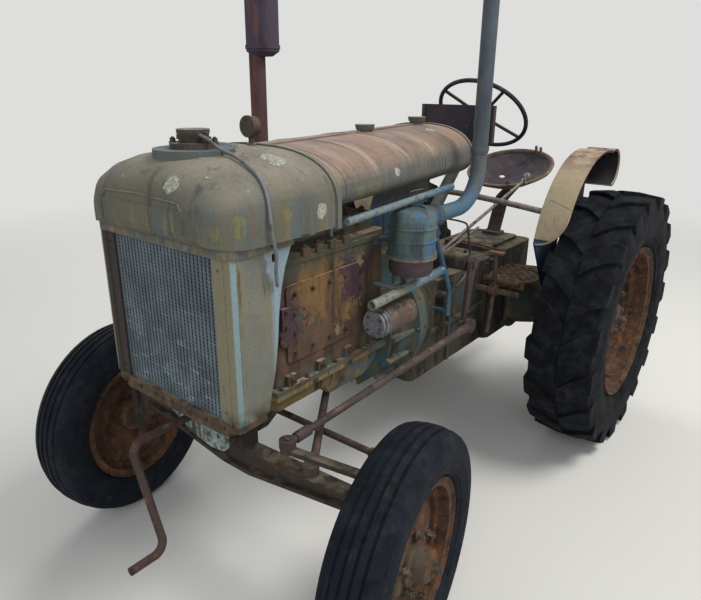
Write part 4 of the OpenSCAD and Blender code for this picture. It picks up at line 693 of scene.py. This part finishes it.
    "tyre_rubber": aged("perished ribbed rubber", "161B24", [
        ("22272F", 80, 0.48, 0.64, EVEN, None, 0.0),
        ("111318", 40, 0.52, 0.66, EVEN, None, -0.1),
        ("2C2B2A", 30, 0.56, 0.72, EVEN, None, 0.0),
    ], rough=0.86, grain=(6, 0.25), mottle=110, shine=0.15),
    # Pressed wheel steel with hardly any paint left: brown rust over dark scale
    "rim_paint": aged("bare rusted wheel steel", "4C382C", [
        ("684630", 44, 0.48, 0.64, EVEN, None, 0.15),
        ("2F2522", 50, 0.50, 0.64, EVEN, None, 0.1),
        ("5A5048", 36, 0.58, 0.70, EVEN, None, 0.0),
        ("7C583A", 14, 0.60, 0.68, EVEN, None, 0.1),
        ("5A5044", 50, 0.24, 0.52, EVEN, ("spots", HUB_DUST, 0.5), 0.2),
    ], rough=0.9, grain=(6, 0.3), mottle=100),
}

# Nodes whose finish is finer than their record slot says
OWN_FINISH = {
    "fuel_tank": "tank_paint",
    "crankcase_sump": "sump_paint",
    "radiator_bottom_tank": "bottom_iron",
    "clutch_housing": "bell_enamel",
    "footplates": "platform_rust",
    "rear_tyre_left": "rear_rubber",
    "rear_tyre_right": "rear_rubber",
}
SLOTS = {piece["node"]: piece["material_slot"] for piece in frame["record"]["subparts"]}


# CAD nodes and new pieces

def each_once(things):
    """List of things without repeats, in the order in which they first come."""
    return list(dict.fromkeys(things))


def put_in_scene(name, data):
    """Add an object to the scene."""
    added = bpy.data.objects.new(name, data)
    bpy.context.scene.collection.objects.link(added)
    return added


def shaded_object(name, bm):
    """Turn a bmesh into an object that is smooth over its shallow edges."""
    for face in bm.faces:
        face.smooth = True
    for edge in bm.edges:
        edge.smooth = edge.calc_face_angle(0.0) < ROUND_EDGES
    mesh = bpy.data.meshes.new(name)
    bm.to_mesh(mesh)
    bm.free()
    return put_in_scene(name, mesh)


def ride_with(piece, body, slot, finish=None):
    """Give a finished piece its material, chosen by its finish or else its record slot, and the body that it
    rides on.
    """
    piece.data.materials.clear()
    piece.data.materials.append(FINISHES[finish or slot])
    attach(piece, body)
    return piece


def mesh_piece(name, bm, body, slot, finish=None):
    """Turn a bmesh into a new piece, its faces pointing outwards."""
    bmesh.ops.recalc_face_normals(bm, faces=bm.faces)
    return ride_with(shaded_object(name, bm), body, slot, finish)


def is_inside_fender(face):
    """Whether a fender's face is the crown's or the curl's inner side, or part of the flat plate below."""
    y, z = face.center.y, face.center.z
    curled = y > CURL_HUB[0] or math.hypot(y - CURL_HUB[0], z - CURL_HUB[1]) < CURL_REACH
    hub_y, hub_z = CURL_HUB if curled else CROWN_HUB
    inward = (hub_y - y) * face.normal.y + (hub_z - z) * face.normal.z
    below = z < CROWN_FOOT and y < CROWN_HUB[0]
    return below or abs(face.normal.x) > 0.5 or inward > 0.5 * math.hypot(hub_y - y, hub_z - z)


def crown_oval(side, turn):
    """A point of the oval at a fender's crown end, and the way out of the oval there."""
    across = CROWN_OVAL_START + CROWN_OVAL[0] * math.sin(turn)
    along = CROWN_END - CROWN_OVAL[1] * (1 - math.cos(turn)) / CROWN_R
    y = CROWN_HUB[0] + CROWN_R * math.cos(along)
    z = CROWN_HUB[1] + CROWN_R * math.sin(along)
    down = Vector((0, -math.sin(along), math.cos(along)))
    outward = LEFT * side * math.sin(turn) / CROWN_OVAL[0] + down * math.cos(turn) / CROWN_OVAL[1]
    return Vector((side * across, y, z)), outward


def is_crown_end(face, side):
    """Whether a face is in the lower front part of a crown's sheet."""
    x, y, z = face.calc_center_median()
    if side * x < CROWN_OVAL_START - CORNER_MARGIN or y > CORNER_BACK or z > CORNER_HIGH or z < CORNER_LOW:
        return False
    return math.hypot(y - CROWN_HUB[0], z - CROWN_HUB[1]) > CROWN_R - CORNER_DEEP


def round_crowns(bm):
    """Cut the front corner off both crowns along the oval, one chord after another."""
    for side in (1, -1):
        for degrees in OVAL_CHORDS:
            place, outward = crown_oval(side, math.radians(degrees))
            faces = [face for face in bm.faces if is_crown_end(face, side)]
            edges = each_once(edge for face in faces for edge in face.edges)
            corners = each_once(vert for face in faces for vert in face.verts)
            bmesh.ops.bisect_plane(bm, geom=faces + edges + corners, plane_co=place, plane_no=outward,
                                   clear_outer=True)


def dress_nodes():
    """Stand a merged copy in for each CAD node, so that its round faces shade as round ones."""
    for node, source in frame["nodes"].items():
        bm = bmesh.new()
        bm.from_mesh(source.data)
        bmesh.ops.remove_doubles(bm, verts=bm.verts, dist=NODE_WELD)
        if node == "engine_pipes":
            ahead = [vert for vert in bm.verts if vert.co.y < OVERFLOW_BACK]
            bmesh.ops.delete(bm, geom=ahead, context="VERTS")
        if node == "fenders":
            round_crowns(bm)
        piece = shaded_object(node + "_finished", bm)
        ride_with(piece, source["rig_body"], SLOTS[node], OWN_FINISH.get(node))
        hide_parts(node)
        if node == "fenders":
            # Inner faces, side faces and the flat plate below take the dark painted shade
            piece.data.materials.append(FINISHES["fender_inside"])
            for face in piece.data.polygons:
                face.material_index = int(is_inside_fender(face))


# Seats for small pieces

surfaces = {}


def lands_on(node, point, outward, reach_m=NEAR):
    """Where a line dropped onto a CAD node from outside meets it, or nothing."""
    if node not in surfaces:
        mesh = frame["nodes"][node].data
        corners = [vertex.co for vertex in mesh.vertices]
        surfaces[node] = BVHTree.FromPolygons(corners, [face.vertices for face in mesh.polygons])
    outward = Vector(outward)
    return surfaces[node].ray_cast(Vector(point) + outward * reach_m, -outward)[0]


def seat_on(node, point, outward, reach_m=NEAR):
    """The same for a piece that must sit on the node."""
    place = lands_on(node, point, outward, reach_m)
    if place is None:
        raise ValueError(f"nothing of {node} lies under {tuple(point)}")
    return place


def row(start, end, count):
    """Evenly spaced points from start to end."""
    return [Vector(start).lerp(Vector(end), i / (count - 1)) for i in range(count)]


def ring(centre, radius, count, axis, first=0.0):
    """Points evenly round a level axis through a centre, the first at an angle in degrees from the top."""
    turns = [math.radians(first) + 2 * math.pi * i / count for i in range(count)]
    return [Vector(centre) + Matrix.Rotation(turn, 3, axis) @ Vector((0, 0, radius)) for turn in turns]


def upright_on(place, outward):
    """Matrix that stands a shape on a place, its own Z pointing outward."""
    return Matrix.Translation(place) @ Vector(outward).to_track_quat("Z", "Y").to_matrix().to_4x4()


def bolt(bm, place, outward, across):
    """Add a hexagon head with its washer and the stud's end."""
    for sides, radius, low, tall in BOLT_PARTS:
        middle = upright_on(place, outward) @ Matrix.Translation((0, 0, (low + tall / 2) * across))
        bmesh.ops.create_cone(bm, cap_ends=True, segments=sides, radius1=radius * across,
                              radius2=BOLT_TAPER * radius * across, depth=tall * across, matrix=middle)


def bolt_group(name, slot, body, rows):
    """Seat groups of bolts on CAD nodes. Columns of rows: node, outward direction, points, width in mm."""
    bm = bmesh.new()
    for node, outward, points, across in rows:
        for point in points:
            bolt(bm, seat_on(node, point, outward), outward, across * MM)
    return mesh_piece(name, bm, body, slot)


def tube(name, points, radius, body, slot, finish=None, bend="POLY"):
    """Lay a round bar, wire or bead through points."""
    curve = bpy.data.curves.new(name, "CURVE")
    curve.dimensions = "3D"
    curve.bevel_depth = radius
    curve.bevel_resolution = 3
    curve.use_fill_caps = True
    spline = curve.splines.new(bend)
    spline.points.add(len(points) - 1)
    for spot, point in zip(spline.points, points):
        spot.co = (*point, 1)
    if bend == "NURBS":
        spline.use_endpoint_u = True
        spline.order_u = 3
        spline.resolution_u = 8
    return ride_with(put_in_scene(name, curve), body, slot, finish)


# Radiator and hood

def core_fins():
    """Thin copper fins across the core's tubes, seen in the gaps between them."""
    low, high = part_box("radiator_core")
    lowest = math.ceil((low.z + FIN_MARGIN) / CORE_DOT_Z)
    highest = math.floor((high.z - FIN_MARGIN) / CORE_DOT_Z)
    shape = Matrix.Diagonal((high.x - low.x - 2 * FIN_MARGIN, FIN_DEEP, FIN_THICK, 1))
    bm = bmesh.new()
    for i in range(lowest, highest):
        middle = Matrix.Translation((0, low.y + FIN_BACK + FIN_DEEP / 2, (i + 0.5) * CORE_DOT_Z))
        bmesh.ops.create_cube(bm, size=1, matrix=middle @ shape)
    mesh_piece("core_fins", bm, "chassis", "core_metal")


def nose_bead():
    """Raised border round the bare panel on the nose, laid on the hood's own surface."""
    corners = [Vector(corner) for corner in NOSE_PANEL]
    path = []
    for start, end in zip(corners, corners[1:]):
        path += [start.lerp(end, i / NOSE_BEAD_STEPS) for i in range(NOSE_BEAD_STEPS)]
    path.append(corners[-1])
    points = [seat_on("radiator_top_tank", (x, NOSE_CAST_Y, z), AHEAD, FAR) for x, z in path]
    tube("nose_panel_bead", points, NOSE_BEAD_R, "chassis", "hood_paint", bend="NURBS")


def round_over(node, y, axis_z, arc, count):
    """Points on a node's skin from its left side over the top to its right, by angle in degrees."""
    start, end = arc
    points = []
    for i in range(count):
        turn = math.radians(start + (end - start) * i / (count - 1))
        outward = Vector((math.cos(turn), 0, math.sin(turn)))
        points.append(seat_on(node, (0, y, axis_z), outward, FROM_MIDDLE))
    return points


def hood_bead():
    """Pressed bead over the hood: a grid rolled into a low bar that follows the hood's arch."""
    steps, sides = HOOD_BEAD_STEPS, HOOD_BEAD_SIDES
    edges = [HOOD_BEAD_Y - HOOD_BEAD_HALF, HOOD_BEAD_Y + HOOD_BEAD_HALF]
    front, back = [round_over("radiator_top_tank", y, HOOD_AXIS_Z, HOOD_ARC, steps + 1) for y in edges]
    bm = bmesh.new()
    bmesh.ops.create_grid(bm, x_segments=steps, y_segments=sides, size=0.5)
    for vert in bm.verts:
        i = round((vert.co.x + 0.5) * steps)
        turn = 2 * math.pi * round((vert.co.y + 0.5) * sides) / sides
        outward = (front[max(i - 1, 0)] - front[min(i + 1, steps)]).cross(BEHIND).normalized()
        across = math.cos(turn)
        if math.sin(turn) > 0:
            rise = HOOD_BEAD_HIGH * math.cos(math.pi / 2 * across) ** 2
        else:
            rise = HOOD_BEAD_SUNK * math.sin(turn)
        vert.co = front[i].lerp(back[i], 0.5 + 0.5 * across) + outward * (rise - HOOD_BEAD_BED)
    bmesh.ops.remove_doubles(bm, verts=bm.verts, dist=PIECE_WELD)
    bmesh.ops.holes_fill(bm, edges=bm.edges)
    mesh_piece("hood_bead", bm, "chassis", "hood_paint")


def tank_seams():
    """Soldered seams round the fuel tank."""
    for number, y in enumerate(TANK_SEAMS, 1):
        points = round_over("fuel_tank", y, TANK_AXIS_Z, TANK_ARC, TANK_SEAM_POINTS)
        tube(f"tank_seam_{number}", points, TANK_SEAM_R, "chassis", "hood_paint", "tank_paint", bend="NURBS")


# Fasteners

def engine_bolts():
    """Studs, nuts and cover bolts of the engine."""
    rows = [
        ("engine_block", ABOVE, [(0.167, y, 1.088) for y in (-0.818, -0.747, -0.688, -0.630, -0.565)], 15),
        ("engine_block", ABOVE, row((0.100, -0.845, 1.128), (0.100, -0.395, 1.128), 6), 17),
        ("engine_block", ABOVE, row((-0.100, -0.845, 1.128), (-0.100, -0.395, 1.128), 6), 17),
        ("engine_block", LEFT, [(0.18, -0.834, 0.881), (0.18, -0.834, 0.925)], 10),
        ("filler_cap", ABOVE, [(-0.041, -0.995, 1.372), (0.041, -0.929, 1.372)], 14),
        ("crankcase_sump", AHEAD, row((-0.15, -0.89, 0.675), (0.15, -0.89, 0.675), 5), 9),
        ("starter_motor", AHEAD, ring((0.247, -0.519, 0.806), 0.030, 4, BEHIND, 45), 7),
        ("radiator_bottom_tank", AHEAD, row((-0.215, -1.10, 0.700), (0.215, -1.10, 0.700), 7), 9),
    ]
    for side, outward in ((1, LEFT), (-1, RIGHT)):
        cover = side * 0.176
        rows += [
            ("engine_block", outward, row((cover, -0.797, 0.965), (cover, -0.497, 0.965), 5), 11),
            ("engine_block", outward, row((cover, -0.797, 0.791), (cover, -0.497, 0.791), 5), 11),
            ("engine_block", outward, row((cover, -0.797, 0.850), (cover, -0.797, 0.908), 2), 11),
            ("engine_block", outward, row((cover, -0.497, 0.850), (cover, -0.497, 0.908), 2), 11),
            ("engine_block", outward,
             [(side * 0.184, y, 0.714) for y in (-0.819, -0.689, -0.559, -0.429)], 15),
            ("engine_block", ABOVE,
             [(side * 0.180, y, 0.696) for y in (-0.861, -0.754, -0.624, -0.494, -0.388)], 11),
        ]
    bolt_group("engine_bolts", "worn_steel", "chassis", rows)


def housing_bolts():
    """Bolts of the flywheel housing, the gearbox and the rear axle."""
    rows = [
        ("clutch_housing", AHEAD, ring((0, -0.228, 0.690), 0.233, 14, BEHIND, 12), 12),
        ("clutch_housing", BEHIND, ring((0, -0.198, 0.690), 0.232, 14, BEHIND, 12), 12),
        ("rear_axle_housing", BEHIND, ring((0, 0.920, 0.600), 0.125, 8, BEHIND, 22.5), 15),
        ("drawbar", BEHIND, [(-0.064, 0.94, 0.478), (0.064, 0.94, 0.478)], 17),
        ("seat", ABOVE, [(0, 0.948, 1.06)], 16),
        ("dash_panel", AHEAD, [(0.057, 0.388, 1.374), (0.062, 0.388, 1.307)], 8),
        ("radiator_top_tank", LEFT, [(0.280, -0.962, 1.152)], 9),
    ]
    for side, outward in ((1, LEFT), (-1, RIGHT)):
        rows += [
            ("gearbox_housing", ABOVE,
             row((side * 0.088, -0.042, 0.826), (side * 0.088, 0.372, 0.826), 5), 13),
            ("gearbox_housing", outward, ring((side * 0.204, 0.022, 0.733), 0.016, 3, LEFT), 7),
            ("gearbox_housing", AHEAD,
             row((side * 0.171, 0.464, 0.470), (side * 0.171, 0.464, 0.760), 6), 10),
            ("rear_axle_housing", outward, ring((side * 0.188, 0.730, 0.550), 0.138, 10, LEFT, 18), 14),
            ("footplates", ABOVE, [(side * 0.188, 0.412, 0.740), (side * 0.188, 0.560, 0.740)], 9),
        ]
    bolt_group("housing_bolts", "housing_iron", "chassis", rows)


def wheel_nuts(body, wheel, centre, outward):
    """Ring of nuts and the middle nut on a wheel's outer side."""
    rim = body.replace("wheel", "rim")
    circle = ring(centre + outward * NUT_START, wheel["nut_circle"], wheel["nuts"], outward)
    bolt_group(body + "_nuts", "worn_steel", body, [
        (rim, outward, circle, wheel["nut_width"]),
        (rim, outward, [centre + outward * MIDDLE_NUT_START], wheel["middle_nut_width"]),
    ])


def wall_beads(body, wheel, centre, outward):
    """Raised rings on both walls of a tyre, each a small circle spun about the wheel's axis."""
    tyre = body.replace("wheel", "tyre")
    bm = bmesh.new()
    for radius, thick in wheel["beads"]:
        for side in (outward, -outward):
            sit = seat_on(tyre, centre + side * WALL_START + Vector((0, 0, radius)), side, FAR)
            turned = Matrix((side, ABOVE, side.cross(ABOVE))).transposed().to_4x4()
            start = Matrix.Translation(sit - side * thick * BEAD_SUNK) @ turned
            loop = bmesh.ops.create_circle(bm, segments=BEAD_SIDES, radius=thick, matrix=start)
            edges = each_once(edge for vert in loop["verts"] for edge in vert.link_edges)
            bmesh.ops.spin(bm, geom=loop["verts"] + edges, cent=centre, axis=side,
                           angle=2 * math.pi, steps=BEAD_STEPS, use_merge=True)
    bmesh.ops.remove_doubles(bm, verts=bm.verts, dist=PIECE_WELD)
    mesh_piece(body + "_wall_beads", bm, body, "tyre_rubber", wheel["rubber"])


def valve_stem(body, wheel, centre, outward):
    """Bent valve stem that leans out of the rim."""
    rim = body.replace("wheel", "rim")
    lean = Matrix.Rotation(math.radians(VALVE_TURN), 3, outward) @ ABOVE
    foot = seat_on(rim, centre + outward * NUT_START + lean * wheel["valve_r"], outward, FAR)
    points = [foot + outward * out * MM + lean * away * MM for out, away in VALVE_POINTS]
    tube(body + "_valve_stem", points, VALVE_R, body, "worn_steel", bend="NURBS")


def wheel_pieces():
    """Nuts, tyre beads and valve stem of each wheel."""
    for joint in frame["joints"]:
        if not joint["name"].endswith("_roll"):
            continue
        body = joint["child"]
        wheel = WHEELS[body.split("_")[0]]
        centre = Vector(joint["pos_m"])
        outward = Vector(joint["axis"]).normalized()
        if outward.x * centre.x < 0:
            outward = -outward
        wheel_nuts(body, wheel, centre, outward)
        wall_beads(body, wheel, centre, outward)
        valve_stem(body, wheel, centre, outward)


# Rods, stays and rolled edges

def fender_beads():
    """Rolled wire edge along each fender's outer side, and the lapped seam across its crown."""
    for name, side in (("left", 1), ("right", -1)):
        points = [seat_on("fenders", (side * x, FENDER_CAST_Y, z), AHEAD, FAR) for x, z in FENDER_SEAM]
        tube("fender_seam_" + name, points, FENDER_SEAM_R, "chassis", "fender_paint")
    across = CROWN_OVAL_START + CROWN_OVAL[0]
    for name, side in (("left", 1), ("right", -1)):
        points = [crown_oval(side, math.radians(turn))[0] for turn in OVAL_TURNS]
        for (y, z), radius, angles in EDGE_ARCS:
            turns = [math.radians(angle) for angle in angles]
            points += [(side * across, y + radius * math.cos(a), z + radius * math.sin(a)) for a in turns]
        tube("fender_edge_" + name, points, FENDER_EDGE_R, "chassis", "fender_paint", bend="NURBS")


def rods():
    """Thin rods and stays between the housings, the column and the left fender, and the overflow pipe."""
    for name, points, radius, slot, finish in RODS:
        tube(name, points, radius * MM, "chassis", slot, finish, bend="NURBS")


def seat_rim():
    """Rolled rim of the seat pan, laid where lines dropped further and further in first meet the pan."""
    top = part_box("seat")[1].z
    points = []
    for i in range(SEAT_RIM_POINTS + 1):
        turn = 2 * math.pi * i / SEAT_RIM_POINTS
        for share in SEAT_SHARES:
            x = share / 100 * SEAT_REACH[0] * math.cos(turn)
            y = SEAT_MIDDLE_Y + share / 100 * SEAT_REACH[1] * math.sin(turn)
            place = lands_on("seat", (x, y, top), ABOVE)
            if place is not None:
                break
        points.append(place)
    tube("seat_rim", points, SEAT_RIM_R, "chassis", "seat_paint", "seat_rim_paint", bend="NURBS")


def lever_knob():
    """Round flat knob on the gear lever."""
    bm = bmesh.new()
    shape = upright_on(KNOB_PLACE, KNOB_FACING) @ Matrix.Diagonal((1, 1, KNOB_FLAT, 1))
    bmesh.ops.create_uvsphere(bm, u_segments=24, v_segments=12, radius=KNOB_RADIUS, matrix=shape)
    mesh_piece("lever_knob", bm, "chassis", "lever_steel")


dress_nodes()
core_fins()
nose_bead()
hood_bead()
tank_seams()
lever_knob()
seat_rim()
engine_bolts()
housing_bolts()
wheel_pieces()
fender_beads()
rods()


# Camera, lamps and floor

def place_camera():
    """Put the camera where the photograph was taken from."""
    data = bpy.data.cameras.new("camera")
    camera = put_in_scene("camera", data)
    turn = (
        Matrix.Rotation(math.radians(CAMERA_YAW), 4, "Z")
        @ Matrix.Rotation(math.radians(90 + CAMERA_PITCH), 4, "X")
        @ Matrix.Rotation(math.radians(CAMERA_ROLL), 4, "Z")
    )
    camera.matrix_world = Matrix.Translation(CAMERA_PLACE) @ turn
    data.sensor_fit = "HORIZONTAL"
    data.sensor_width = SENSOR_MM
    data.lens = FOCAL_PX * SENSOR_MM / PHOTO_PX[0]
    data.shift_x = (PHOTO_PX[0] / 2 - PRINCIPAL_PX[0]) / PHOTO_PX[0]
    data.shift_y = (PRINCIPAL_PX[1] - PHOTO_PX[1] / 2) / PHOTO_PX[0]
    data.clip_start = 0.05
    bpy.context.scene.camera = camera


def add_lamp(name, place, size, power, tint):
    """Add one soft area lamp aimed at the tractor's middle."""
    data = bpy.data.lights.new(name, "AREA")
    data.shape = "DISK"
    data.size = size
    data.energy = power
    data.color = tint
    lamp = put_in_scene(name, data)
    lamp.location = place
    aim = Vector(LAMP_TARGET) - Vector(place)
    lamp.rotation_euler = aim.to_track_quat("-Z", "Y").to_euler()


def seen_rays(tree):
    """1 for rays that show the backdrop itself: from the camera, mirrored or through glass."""
    path = add(tree, "LightPath")
    seen = path.outputs["Is Camera Ray"]
    for kind in ("Is Glossy Ray", "Is Transmission Ray"):
        seen = add(tree, "Math", {0: seen, 1: path.outputs[kind]}, operation="MAXIMUM").outputs[0]
    return seen


def light_studio():
    """Light the scene with the soft lamps and a plain white world."""
    for lamp in LAMPS:
        add_lamp(*lamp)
    world = bpy.data.worlds.new("studio")
    bpy.context.scene.world = world
    world.use_nodes = True
    tree = world.node_tree
    tree.nodes["Background"].inputs["Strength"].default_value = WORLD_LIGHT
    tree.nodes["Background"].inputs["Color"].default_value = (1, 1, 1, 1)
    backdrop = add(tree, "Background", {"Color": colour(BACKDROP)})
    shown = add(tree, "MixShader", {
        0: seen_rays(tree), 1: tree.nodes["Background"].outputs[0], 2: backdrop.outputs[0]})
    tree.links.new(shown.outputs[0], tree.nodes["World Output"].inputs["Surface"])
    bpy.context.scene.view_settings.view_transform = "Standard"


def lay_floor():
    """Lay the plain pale floor, which takes on the backdrop's colour far from the tractor."""
    bm = bmesh.new()
    bmesh.ops.create_grid(bm, x_segments=1, y_segments=1, size=FLOOR_HALF)
    mesh = bpy.data.meshes.new("floor")
    bm.to_mesh(mesh)
    bm.free()
    floor = put_in_scene("floor", mesh)
    paint = bpy.data.materials.new("painted_floor")
    paint.use_nodes = True
    tree = paint.node_tree
    shader = tree.nodes["Principled BSDF"]
    shader.inputs["Base Color"].default_value = colour(FLOOR)
    shader.inputs["Roughness"].default_value = 0.9
    shader.inputs["Specular IOR Level"].default_value = 0.0
    far = add(tree, "VectorMath", {0: add(tree, "TexCoord").outputs["Object"]}, operation="LENGTH")
    limits = {"Value": far.outputs["Value"], "From Min": FLOOR_FADE[0], "From Max": FLOOR_FADE[1]}
    fade = add(tree, "MapRange", limits, interpolation_type="SMOOTHSTEP").outputs["Result"]
    fade = add(tree, "Math", {0: fade, 1: seen_rays(tree)}, operation="MULTIPLY").outputs[0]
    glow = add(tree, "Emission", {"Color": colour(BACKDROP), "Strength": 1.0})
    shown = add(tree, "MixShader", {0: fade, 1: shader.outputs[0], 2: glow.outputs[0]})
    tree.links.new(shown.outputs[0], tree.nodes["Material Output"].inputs["Surface"])
    mesh.materials.append(paint)


place_camera()
light_studio()
lay_floor()
